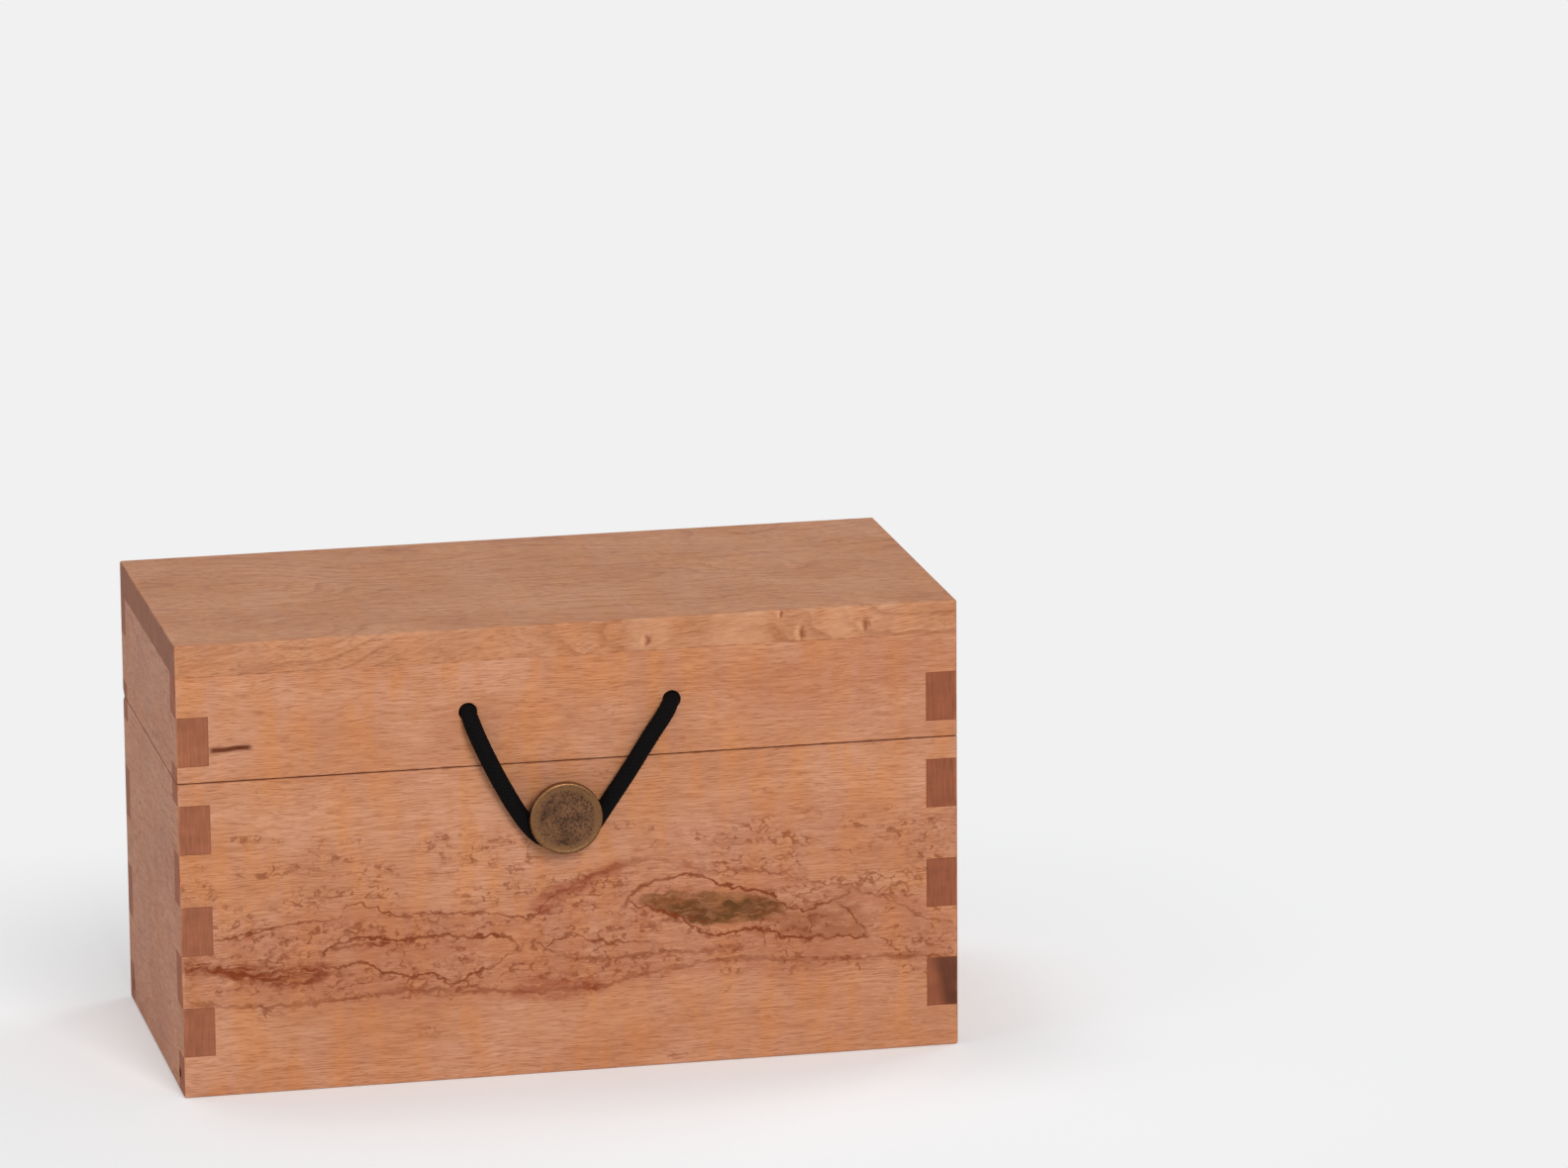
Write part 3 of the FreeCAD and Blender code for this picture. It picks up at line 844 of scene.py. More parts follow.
        # Bars across the fibres: the curly figure, partly its tone and partly its sheen painted in as a fixed
        # tint.
        colour = w.blend(w.math("MULTIPLY", grain["Shimmer"], self.shimmer), colour, self.shimmer_tint)
        colour = w.blend(w.math("MULTIPLY", grain["Pore"], self.pores), colour, self.pore)
        streak = w.math("SUBTRACT", grain["Streak"], 0.5)
        tone = w.math("MULTIPLY_ADD", streak, self.streaks, grain["Fibre"])
        return w.blend(1.0, colour, w.blend(tone, self.fibre_low, self.fibre_high), "MULTIPLY")

    def joint_marks_and_gap_shade(self, w: Wiring, place: Feed, effects: SharedEffects, ends: Feed, level: Feed) -> Socket:
        """Join the painted shade of the gap at the parting cut with the lines of the glue seam and the
        fingers, each where it shows.

        Args:
            w: wiring of the material.
            place: place on the object.
            effects: the shared effects.
            ends: 1 on end grain.
            level: 1 on level faces.

        Returns:
            The lines' mask.
        """
        joints = w.use(effects.joints, Place=place)
        # Painted shade of the gap between lid and body.
        saw_gap_shade = w.math("MULTIPLY", joints["Saw"], w.ease(level, 0.0, 1.0, self.saw_gap_shade_line, self.saw_gap_shade_face))
        seam = w.math("MULTIPLY", joints["Seam"], w.ease(level, 0.0, 1.0, self.seam_line, 0.0))
        finger = w.math("MULTIPLY", w.math("MULTIPLY", joints["Finger"], ends), self.finger_line)
        return w.strongest(saw_gap_shade, seam, finger)

    def material(self, effects: SharedEffects) -> bpy.types.Material:
        """Build the material.

        Args:
            effects: the shared effects.

        Returns:
            The material.
        """
        surface = Surface(self.name)
        w = surface.wiring
        place = w.millimetres()
        turned = self.along(w, place)
        grain = w.use(effects.grain, Place=turned)
        edges = w.use(effects.edges, Place=place)
        ends, level = self.facing(w)
        colour = self.figure(w, effects, place, turned, self.plain(w, grain))
        colour = w.blend(ends, colour, self.end_grain(w, place))
        colour = w.blend(self.joint_marks_and_gap_shade(w, place, effects, ends, level), colour, self.joint_and_gap_shade)
        # Lighter band along the outer edges: rubbed wood and a painted highlight of the rounded edges.
        colour = w.blend(w.math("MULTIPLY", edges["Wear"], self.edge_wear_and_highlight), colour, self.rubbed)
        colour = w.blend(w.math("MULTIPLY", edges["Inside"], self.inside), colour, self.inner)
        worked = w.math("MULTIPLY_ADD", grain["Fibre"], -self.fibre_relief, grain["Pore"])
        rough = w.ease(worked, -self.fibre_relief, 1.0, *self.roughness)
        rough = w.math("MULTIPLY_ADD", ends, self.rougher, rough)
        rough = w.math("MULTIPLY_ADD", edges["Inside"], self.rougher, rough)
        surface.set(Base_Color=colour, Roughness=rough, Specular_IOR_Level=self.specular)
        surface.relief(w.math("MULTIPLY", worked, -0.5), self.pore_depth, 0.6)
        return surface.material


@dataclass(frozen=True)
class FrontWood(WoodFinish):
    """The figured board of the front, with its own veins, stains and knot.

    The density line says how thickly curls lie at each height. Other lines give heights along the board.
    """

    curl: float = 0.6
    speck: float = 0.26
    knot: Colour = paint(94, 34, 4)
    density_line: Line = (
        (0.0, 0.2), (14.0, 0.3), (20.0, 0.55), (26.0, 0.95), (40.0, 0.88), (50.0, 0.74), (58.0, 0.66),
        (66.0, 0.42), (74.0, 0.2), (113.0, 0.1),
    )
    stains: tuple[Stain, ...] = (
        Stain(
            (
                (-97.0, 39.0), (-80.0, 42.0), (-56.0, 45.0), (-30.0, 43.0), (-9.0, 43.0), (8.0, 52.0),
                (20.0, 54.0), (45.0, 50.0), (70.0, 44.0), (97.0, 36.0),
            ),
            ((-97.0, 24.0), (-60.0, 22.0), (-10.0, 19.0), (20.0, 22.0), (60.0, 21.0), (97.0, 22.0)),
            paint(172, 102, 74), 0.5, 3.5,
        ),
        Stain(
            ((28.0, 94.0), (50.0, 101.0), (70.0, 107.0), (110.0, 108.0)),
            ((28.0, 94.0), (50.0, 87.0), (70.0, 83.0), (110.0, 80.0)),
            paint(170, 98, 68), 0.3, 6.0,
        ),
        Stain(
            ((14.0, 57.0), (34.0, 62.0), (60.0, 64.0), (110.0, 62.0)),
            ((14.0, 56.0), (34.0, 52.0), (60.0, 49.0), (110.0, 44.0)),
            paint(164, 98, 78), 0.3, 4.5,
        ),
        Stain(
            ((-97.0, 35.2), (-88.0, 34.0), (-80.0, 32.8), (-66.0, 31.6), (-60.0, 33.0)),
            ((-97.0, 31.2), (-88.0, 30.4), (-80.0, 28.0), (-66.0, 26.6), (-60.0, 30.0)),
            paint(127, 54, 22), 0.95, 1.3,
        ),
        Stain(
            ((-16.0, 24.0), (-8.0, 24.5), (0.0, 23.5), (8.0, 22.8)),
            ((-16.0, 21.0), (-8.0, 18.6), (0.0, 19.2), (8.0, 21.0)),
            paint(150, 72, 46), 0.6, 1.4,
        ),
        Stain(
            ((-11.0, 43.6), (-8.0, 46.2), (-5.0, 47.6), (0.0, 48.6), (6.0, 51.0), (14.0, 52.4)),
            ((-11.0, 41.2), (-8.0, 40.4), (-5.0, 41.6), (0.0, 44.4), (6.0, 48.6), (14.0, 51.0)),
            paint(150, 73, 51), 0.75, 1.4, 0.5,
        ),
        Stain(
            ((16.0, 43.6), (22.0, 44.2), (30.0, 43.8), (38.0, 43.0), (46.0, 42.0), (54.0, 39.4)),
            ((16.0, 41.6), (22.0, 39.4), (28.0, 36.8), (32.0, 35.2), (46.0, 35.6), (54.0, 37.0)),
            paint(122, 75, 37), 0.88, 0.9, 0.5,
        ),
        Stain(
            ((23.0, 39.6), (29.0, 41.0), (36.0, 41.2), (44.0, 40.8), (53.0, 39.0)),
            ((23.0, 38.2), (29.0, 36.6), (33.0, 35.8), (44.0, 36.0), (53.0, 37.2)),
            paint(86, 52, 20), 0.78, 1.0, 0.36,
        ),
        Stain(
            ((48.0, 40.0), (56.0, 38.0), (62.0, 39.0), (67.0, 40.0), (74.0, 33.0)),
            ((48.0, 33.0), (56.0, 30.6), (62.0, 30.4), (67.0, 30.0), (74.0, 29.0)),
            paint(138, 76, 48), 0.42, 1.4,
        ),
    )
    veins: tuple[Vein, ...] = (
        Vein(
            (
                (-89.0, 39.3), (-82.0, 40.2), (-75.0, 41.3), (-68.0, 42.6), (-58.0, 42.8), (-56.5, 45.3),
                (-54.0, 46.3), (-50.0, 45.2), (-45.0, 43.2), (-38.0, 42.5), (-28.0, 42.1), (-22.0, 41.9),
                (-16.0, 40.8), (-10.0, 40.2), (-7.5, 43.0), (-5.0, 45.2), (0.0, 47.3),
            ),
            0.45, 0.75,
        ),
        Vein(
            (
                (-7.0, 43.5), (-4.0, 45.6), (0.0, 47.3), (5.0, 49.5), (10.0, 51.0), (16.0, 52.6),
                (22.0, 52.3), (28.0, 50.6), (34.0, 48.6),
            ),
            0.9, 0.45,
        ),
        Vein(
            (
                (33.0, 48.7), (42.0, 48.2), (50.0, 47.5), (58.0, 45.0), (64.0, 43.5), (72.0, 41.5),
                (80.0, 38.0), (88.0, 33.6), (96.0, 31.0),
            ),
            0.5, 0.5,
        ),
        Vein(
            (
                (-63.0, 32.5), (-61.5, 34.8), (-58.0, 36.6), (-53.0, 37.4), (-47.0, 37.0), (-41.0, 36.3),
                (-36.0, 36.9), (-32.0, 36.9), (-28.0, 36.0), (-22.0, 36.1), (-17.0, 35.2), (-15.5, 33.8),
                (-14.8, 32.0),
            ),
            0.6, 0.9,
        ),
        Vein(((-61.0, 35.4), (-57.0, 35.6), (-52.0, 36.0), (-45.0, 35.4)), 0.8, 0.8),
        Vein(
            (
                (-63.0, 32.0), (-58.0, 30.5), (-54.0, 31.3), (-50.0, 30.4), (-46.0, 28.3), (-41.0, 27.5),
                (-36.0, 27.3), (-33.0, 26.0), (-30.0, 24.6), (-27.0, 25.6), (-23.0, 27.5), (-19.5, 28.5),
                (-17.5, 30.3), (-14.8, 31.8),
            ),
            0.55, 0.85,
        ),
        Vein(
            (
                (-96.0, 25.0), (-90.0, 23.2), (-80.0, 22.2), (-70.0, 21.8), (-60.0, 22.5),
                (-50.0, 22.8), (-42.0, 23.6), (-34.0, 23.3), (-26.0, 22.3), (-18.0, 21.8), (-8.0, 21.0),
                (0.0, 21.2), (8.0, 21.6), (14.0, 23.4), (22.0, 24.2), (30.0, 25.3), (40.0, 26.0),
                (50.0, 25.2), (60.0, 24.5), (75.0, 24.0), (95.0, 23.0),
            ),
            0.9, 0.5,
        ),
        Vein(
            (
                (13.5, 43.0), (15.0, 44.8), (18.5, 46.2), (24.0, 47.6), (30.0, 48.2), (34.0, 46.8),
                (38.0, 44.8), (42.0, 43.6), (46.0, 43.0), (50.0, 41.8), (53.0, 38.6), (58.0, 37.2),
                (62.0, 38.2), (66.0, 39.5), (70.0, 41.2),
            ),
            0.6, 0.9,
        ),
        Vein(
            (
                (13.5, 42.8), (16.0, 41.0), (20.0, 40.0), (25.0, 38.2), (29.0, 35.6), (33.0, 33.0),
                (37.0, 32.2), (42.0, 33.1), (48.0, 33.0), (52.0, 31.0), (57.0, 30.3), (64.0, 30.1),
                (70.0, 29.6), (74.0, 29.4),
            ),
            0.6, 0.9,
        ),
        Vein(((66.0, 38.5), (69.0, 36.5), (71.5, 33.0), (74.0, 29.6)), 0.8, 0.75),
        Vein(((11.8, 40.6), (13.6, 42.4), (15.0, 44.6), (17.6, 46.2), (20.0, 46.8)), 1.2, 0.85),
        Vein(((-19.0, 36.0), (-16.0, 35.2), (-14.4, 33.6), (-13.2, 31.2)), 1.1, 0.75),
        Vein(
            ((-8.0, 31.8), (-4.0, 33.6), (0.0, 34.9), (3.0, 33.6), (8.0, 32.6), (14.0, 32.0), (20.0, 31.5)),
            0.55, 0.75,
        ),
        Vein(
            (
                (-8.0, 31.6), (-3.0, 30.2), (2.0, 28.6), (8.0, 28.2), (14.0, 28.5), (22.0, 28.9),
                (32.0, 28.4), (42.0, 28.8),
            ),
            0.8, 0.5,
        ),
    )
    knots: tuple[Vein, ...] = (
        Vein(((-89.0, 87.0), (-85.0, 87.0), (-81.0, 87.3), (-78.0, 87.1)), 1.1, 0.93),
        Vein(((-83.5, 87.1), (-80.5, 87.3), (-79.0, 87.2)), 0.95, 0.98),
    )

    def figure(self, w: Wiring, effects: SharedEffects, place: Feed, turned: Feed, colour: Feed) -> Socket:
        """Lay the stains, then curls that crowd towards the lower half, then the veins and the knot.

        Args:
            w: wiring of the material.
            effects: the shared effects.
            place: place on the object.
            turned: place with the fibres along X.
            colour: colour so far.

        Returns:
            The colour with the figure in it.
        """
        curled = w.stray(place, (2.8, 2.8, 2.2), 3.6)
        x, _, z = w.split(curled)
        mottle = w.noise(curled, (5.0, 5.0, 1.1), 3.0)
        for stain in self.stains:
            mottled = w.ease(mottle, 0.3, 0.62, stain.even, 1.0)
            colour = w.blend(w.math("MULTIPLY", stain.mask(w, x, z), mottled), colour, stain.tint)
        straight_x, _, straight_z = w.split(place)
        curls = w.use(effects.curls, Place=turned, Density=w.curve(straight_z, self.density_line))
        drawn = w.math("MULTIPLY", curls["Curl"], self.curl)
        dotted = w.math("MULTIPLY", curls["Speck"], self.speck)
        colour = w.blend(w.strongest(drawn, dotted), colour, self.vein)
        faint = w.ease(w.noise(place, (9.0, 9.0, 5.0), 2.0), 0.3, 0.6, 0.6, 1.0)
        veins = w.strongest(*(vein.mask(w, x, z) for vein in self.veins))
        colour = w.blend(w.math("MULTIPLY", veins, faint), colour, self.vein)
        knots = w.strongest(*(knot.mask(w, straight_x, straight_z) for knot in self.knots))
        return w.blend(knots, colour, self.knot)


@dataclass(frozen=True)
class BrassFinish:
    """Metal with a patina: a base tone, a bright tone where it is rubbed, and dark tarnish and specks.

    The lump is the size of its clouds against those of the patina effect.
    """

    name: str
    base: Colour
    bright: Colour
    dark: Colour
    lump: float
    rough: float
    specks: float
    rubbed_specks: float = 0.4
    tarnish: float = 0.4
    shine: float = 0.8
    scratches: float = 0.25
    duller: float = 0.12
    speck_rough: float = 0.1
    depth: float = 0.02

    def material(self, effects: SharedEffects) -> bpy.types.Material:
        """Build the material.

        Args:
            effects: the shared effects.

        Returns:
            The material.
        """
        surface = Surface(self.name)
        w = surface.wiring
        place = w.millimetres()
        patina = w.use(effects.patina, Place=place, Size=self.lump)
        rubbed = self.rubbed(w, place, patina)
        colour = w.blend(w.math("MULTIPLY", patina["Tarnish"], self.tarnish), self.base, self.dark)
        colour = w.blend(w.math("MULTIPLY", rubbed, self.shine), colour, self.bright)
        left = w.ease(rubbed, 0.0, 1.0, self.specks, self.rubbed_specks * self.specks)
        colour = w.blend(w.math("MULTIPLY", patina["Speck"], left), colour, self.dark)
        colour = w.blend(w.math("MULTIPLY", patina["Scratch"], self.scratches), colour, self.bright)
        rough = w.ease(rubbed, 0.0, 1.0, self.rough + self.duller, self.rough)
        rough = w.math("MULTIPLY_ADD", patina["Speck"], self.speck_rough, rough)
        surface.set(Base_Color=colour, Metallic=1.0, Roughness=rough)
        surface.relief(w.math("SUBTRACT", patina["Scratch"], patina["Speck"]), self.depth, 0.4)
        return surface.material

    def rubbed(self, w: Wiring, place: Feed, patina: bpy.types.NodeOutputs) -> Socket:
        """Find where handling keeps the metal bright: between the clouds of tarnish.

        Args:
            w: wiring of the material.
            place: place on the object; not used here.
            patina: outputs of the patina effect.

        Returns:
            A mask that is 1 where it is rubbed.
        """
        return w.ease(patina["Tarnish"], 0.9, 0.1)


@dataclass(frozen=True)
class ButtonFinish(BrassFinish):
    """Antique brass for the button: dull in the middle of its face, rubbed brighter towards its rim."""

    dull_radius: float = 6.4
    bright_radius: float = 7.7
    wander: float = 0.8

    def rubbed(self, w: Wiring, place: Feed, patina: bpy.types.NodeOutputs) -> Socket:
        """Find where the button is rubbed: beyond an uneven circle about its axis.

        Args:
            w: wiring of the material.
            place: place on the object.
            patina: outputs of the patina effect.

        Returns:
            A mask that is 1 near the rim.
        """
        x, _, z = w.split(place)
        across, up = w.math("SUBTRACT", x, BUTTON_X), w.math("SUBTRACT", z, BUTTON_Z)
        radius = w.math("SQRT", w.math("MULTIPLY_ADD", across, across, w.math("MULTIPLY", up, up)))
        uneven = w.math("MULTIPLY_ADD", w.math("SUBTRACT", patina["Tarnish"], 0.5), self.wander, radius)
        return w.ease(uneven, self.dull_radius, self.bright_radius)


@dataclass(frozen=True)
class ElasticFinish:
    """Black braided elastic: two crossing sets of strands, drawn on the piece's own unwrapped surface."""

    name: str = "black_elastic"
    dark: Colour = paint(3, 3, 3)
    # Lighter on the braid's raised strands, near black between them.
    strand_crest: Colour = paint(14, 9, 10)
    specular: float = 0.09
    depth: float = 0.12

    def material(self) -> bpy.types.Material:
        """Build the material.

        Returns:
            The material.
        """
        surface = Surface(self.name)
        w = surface.wiring
        unwrapped = w.add("ShaderNodeUVMap", uv_map=Tube.UNWRAPPED).outputs[0]
        along, round_, _ = w.split(unwrapped)
        turns = w.math("MULTIPLY", round_, Tube.STRANDS)
        climb = w.math("MULTIPLY", along, Tube.STRANDS / Tube.PITCH)
        lay = [w.math("MULTIPLY", w.math(how, turns, climb), 2 * math.pi) for how in ("ADD", "SUBTRACT")]
        braid = w.ease(w.math("MAXIMUM", *(w.math("COSINE", angle) for angle in lay)), -0.2, 1.0)
        fuzz = w.noise(w.millimetres(), (0.35, 0.35, 0.35), 3.0)
        tone = w.math("MULTIPLY", braid, w.ease(fuzz, 0.35, 0.7, 0.3, 1.0))
        surface.set(
            Base_Color=w.blend(tone, self.dark, self.strand_crest),
            Roughness=w.ease(fuzz, 0.3, 0.7, 0.7, 0.9),
            Specular_IOR_Level=self.specular,
        )
        surface.relief(w.math("MULTIPLY_ADD", fuzz, 0.5, braid), self.depth, 0.7)
        return surface.material


class Tube:
    """A round braided tube along a path, closed by half balls at both ends.

    The pitch is the way in millimetres in which a strand goes once round, and the relief is the share of
    the radius by which the surface dips between strands.
    """

    UNWRAPPED = "unwrapped"
    SIDES = 64
    CAP_RINGS = 7
    STRANDS = 8.0
    PITCH = 9.0
    RELIEF = 0.03

    def __init__(self, path: np.ndarray, radius: np.ndarray) -> None:
        """Take the path's points and the radius at each of them."""
        self.path = path
        self.radius = radius

    def rings(self) -> tuple[np.ndarray, np.ndarray, np.ndarray]:
        """Add the half balls' rings to the path.

        On a cap at angle a, the ring lies radius times sin a beyond the end and is radius times cos a wide.

        Returns:
            The rings' middles, their radii and the directions across them.
        """
        steps = np.diff(self.path, axis=0)
        runs = np.vstack([steps[:1], steps[:-1] + steps[1:], steps[-1:]])
        tangents = runs / np.linalg.norm(runs, axis=1, keepdims=True)
        angles = np.linspace(math.pi / 2, 0, self.CAP_RINGS, endpoint=False)
        first, last = self.radius[0], self.radius[-1]
        head = self.path[0] - tangents[0] * (first * np.sin(angles))[:, None]
        tail = self.path[-1] + tangents[-1] * (last * np.sin(angles[::-1]))[:, None]
        middles = np.vstack([head, self.path, tail])
        radii = np.concatenate([first * np.cos(angles), self.radius, last * np.cos(angles[::-1])])
        ways = np.repeat(tangents, [len(head) + 1] + [1] * (len(tangents) - 2) + [len(tail) + 1], 0)
        return middles, radii, ways

    def across(self, ways: np.ndarray) -> np.ndarray:
        """Carry one cross direction along the path, always square to it, without twist.

        Args:
            ways: direction of the path at each ring.

        Returns:
            A unit direction at each ring.
        """

        def carried(before: np.ndarray, way: np.ndarray) -> np.ndarray:
            """Take out of a direction what runs along the path."""
            square = before - way * (before @ way)
            return square / np.linalg.norm(square)

        start = carried(np.array([0.0, -0.6, 0.8]), ways[0])
        return np.array(list(accumulate(ways[1:], carried, initial=start)))

    def build(self, name: str) -> bpy.types.Object:
        """Make the tube: each ring's middle plus its radius times the cosine and sine of its two directions.

        The radius dips between the strands: by the larger of the cosines of two helices that cross.

        Args:
            name: name of the piece.

        Returns:
            The piece, with its unwrapped surface in millimetres along and turns round.
        """
        middles, radii, ways = self.rings()
        one = self.across(ways)
        two = np.cross(ways, one)
        turn = np.linspace(0, 2 * math.pi, self.SIDES, endpoint=False)
        travel = np.concatenate([[0.0], np.cumsum(np.linalg.norm(np.diff(middles, axis=0), axis=1))]) / MM
        climb = 2 * math.pi * self.STRANDS / self.PITCH * travel[:, None]
        strands = np.maximum(np.cos(self.STRANDS * turn + climb), np.cos(self.STRANDS * turn - climb))
        reach = radii[:, None] * (1 - self.RELIEF * (1 - strands))
        spokes = one[:, None] * np.cos(turn)[None, :, None] + two[:, None] * np.sin(turn)[None, :, None]
        return Sheet(middles[:, None] + spokes * reach[..., None], travel).build(name)


class Sheet:
    """A surface on a grid, closed round its second direction."""

    WELD = 1e-7

    def __init__(self, points: np.ndarray, along: np.ndarray) -> None:
        """Take the grid of points and how far along each row lies."""
        self.points = points
        self.along = along

    def build(self, name: str) -> bpy.types.Object:
        """Make the mesh: a four-sided face between each two rows and each two columns.

        Args:
            name: name of the piece.

        Returns:
            The piece.
        """
        rows, columns = self.points.shape[:2]
        row, column = np.meshgrid(np.arange(rows - 1), np.arange(columns), indexing="ij")
        after = (column + 1) % columns
        here, ahead = row * columns, (row + 1) * columns
        faces = np.stack([here + column, here + after, ahead + after, ahead + column], -1).reshape(-1, 4)
        mesh = bpy.data.meshes.new(name)
        mesh.from_pydata(self.points.reshape(-1, 3), [], faces)
        turned = np.stack([column, column + 1, column + 1, column], -1) / columns
        along = self.along[np.stack([row, row, row + 1, row + 1], -1)]
        layer = mesh.uv_layers.new(name=Tube.UNWRAPPED)
        layer.data.foreach_set("uv", np.stack([along, turned], -1).astype(np.float32).ravel())
        welded = bmesh.new()
        welded.from_mesh(mesh)
        bmesh.ops.remove_doubles(welded, verts=welded.verts, dist=self.WELD)
        bmesh.ops.recalc_face_normals(welded, faces=welded.faces)
        welded.to_mesh(mesh)
        welded.free()
        mesh.shade_smooth()
        piece = bpy.data.objects.new(name, mesh)
        bpy.context.scene.collection.objects.link(piece)
        return piece


def spline_points(route: np.ndarray, steps: int) -> np.ndarray:
    """Read points from a smooth spline that has a route's points as its control points.

    Args:
        route: the control points.
        steps: points for each stretch of the spline.

    Returns:
        Points along the spline, in order.
    """
    curve = bpy.data.curves.new("route", "CURVE")
    curve.dimensions = "3D"
    curve.resolution_u = steps
    spline = curve.splines.new("NURBS")
    spline.points.add(len(route) - 1)
    spline.points.foreach_set("co", np.column_stack([route, np.ones(len(route))]).ravel())
    spline.order_u = 3
    spline.use_endpoint_u = True
    holder = bpy.data.objects.new("route", curve)
    mesh = bpy.data.meshes.new_from_object(holder)
    points = np.empty(3 * len(mesh.vertices))
    mesh.vertices.foreach_get("co", points)
    bpy.data.objects.remove(holder)
    bpy.data.curves.remove(curve)
    bpy.data.meshes.remove(mesh)
    return points.reshape(-1, 3)


@dataclass
class ElasticLoop:
    """The elastic: a loop from hole to hole under the button, and a knot inside the lid at each end.

    The loop thins towards its mouths over the taper, a share of half its length. The stub gives depths in
    the hole, and the tail gives places from the knot's middle. knot_tight gives the shares of an end's
    length where its knot begins to thin, is thin, begins to swell and is full again.
    """

    radius: float = 2.1
    mouth_radius: float = 1.98
    taper: float = 0.08
    seat: float = 0.15
    hole_radius: float = 2.3
    hole_play: float = 0.1
    hole_height: float = 92.7
    holes: tuple[float, float] = (-25.2, 25.2)
    route: tuple[tuple[float, float, float], ...] = (
        (-25.2, -42.35, 92.7),
        (-24.6, -44.95, 89.9),
        (-22.3, -45.55, 84.2),
        (-18.6, -45.35, 76.3),
        (-13.3, -44.85, 66.6),
        (-8.3, -44.65, 60.3),
        (-2.5, -44.65, 59.0),
        (3.1, -44.65, 60.3),
        (8.2, -44.85, 67.9),
        (13.9, -45.35, 76.3),
        (19.6, -45.55, 85.4),
        (23.6, -44.95, 90.6),
        (25.2, -42.35, 92.7),
    )
    loop_steps: int = 32
    stub: tuple[float, ...] = (2.4, 5.0, WALL)
    tail: tuple[tuple[float, float, float], ...] = (
        (-0.6, 4.2, -0.2),
        (-0.3, 6.0, -2.0),
        (0.0, 6.6, -5.0),
        (0.0, 6.4, -8.6),
    )
    knot_steps: int = 12
    knot_points: int = 22
    knot_start: float = 1.12 * math.pi
    knot_end: float = 2.88 * math.pi
    knot_depth: float = 5.2
    knot_wide: float = 1.12
    knot_thick: float = 1.45
    knot_radius: float = 1.75
    knot_tight: tuple[float, float, float, float] = (0.08, 0.16, 0.86, 0.92)
    finish: ElasticFinish = field(default_factory=ElasticFinish)

    def loop(self) -> bpy.types.Object:
        """Build the loop outside the lid, pressed flat where it would enter the wood beside its holes.

        Returns:
            The loop.
        """
        path = spline_points(np.array(self.route) * MM, self.loop_steps)
        from_mouth = 1 - abs(np.linspace(-1, 1, len(path)))
        radius = np.interp(from_mouth, (0, self.taper), (self.mouth_radius, self.radius))
        piece = Tube(path, radius * MM).build("elastic_cord_loop")
        self.press(piece)
        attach(piece, "loop")
        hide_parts("elastic_loop")
        return piece

    def press(self, piece: bpy.types.Object) -> None:
        """Hold a piece's points off the lid's front, except inside the two holes.

        Args:
            piece: the loop.
        """
        points = np.empty(3 * len(piece.data.vertices))
        piece.data.vertices.foreach_get("co", points)
        points = points.reshape(-1, 3)
        outside = np.ones(len(points), bool)
        for x in self.holes:
            away = np.hypot(points[:, 0] - x * MM, points[:, 2] - self.hole_height * MM)
            outside &= away > (self.hole_radius - self.hole_play) * MM
        wood = (FRONT - self.seat) * MM
        points[:, 1] = np.where(outside, np.minimum(points[:, 1], wood), points[:, 1])
        piece.data.vertices.foreach_set("co", points.ravel())
        piece.data.update()

    def knot_route(self, x: float) -> np.ndarray:
        """Route one end: through its hole, once round in an overhand knot, and out into a loose tail.

        The knot is an opened trefoil: with angle t it lies at sin t + 2 sin 2t along the cord,
        cos t - 2 cos 2t across it, and - sin 3t to the side.

        Args:
            x: the hole's place along the front.

        Returns:
            Control points, in metres.
        """
        t = np.linspace(self.knot_start, self.knot_end, self.knot_points)
        middle = FRONT + WALL + self.knot_depth
        inward = middle + self.knot_wide * (np.sin(t) + 2 * np.sin(2 * t))
        down = self.knot_wide * (np.cos(t) - 2 * np.cos(2 * t) + 3)
        aside = -self.knot_thick * np.sin(3 * t)
        turns = np.column_stack([x + aside, inward, self.hole_height - down])
        stub = np.array([(x, FRONT + depth, self.hole_height) for depth in self.stub])
        tail = np.array((x, middle, self.hole_height)) + np.array(self.tail)
        return np.vstack([stub, turns, tail]) * MM

    def cord_end(self, side: str, x: float) -> bpy.types.Object:
        """Build one end with its knot, drawn thinner where the knot is pulled tight.

        Args:
            side: left or right.
            x: the hole's place along the front.

        Returns:
            The cord's end.
        """
        path = spline_points(self.knot_route(x), self.knot_steps)
        tight = np.interp(np.linspace(0, 1, len(path)), self.knot_tight, (0, 1, 1, 0))
        radius = self.radius + (self.knot_radius - self.radius) * tight
        piece = Tube(path, radius * MM).build(f"{side}_cord_knot")
        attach(piece, "lid")
        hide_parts(f"{side}_cord_end")
        return piece

    def build(self) -> list[bpy.types.Object]:
        """Build and dress the loop and both knots.

        Returns:
            The pieces.
        """
        pieces = [self.loop()]
        pieces += [self.cord_end(side, x) for side, x in zip(("left", "right"), self.holes)]
        material = self.finish.material()
        for piece in pieces:
            piece.data.materials.append(material)
        return pieces


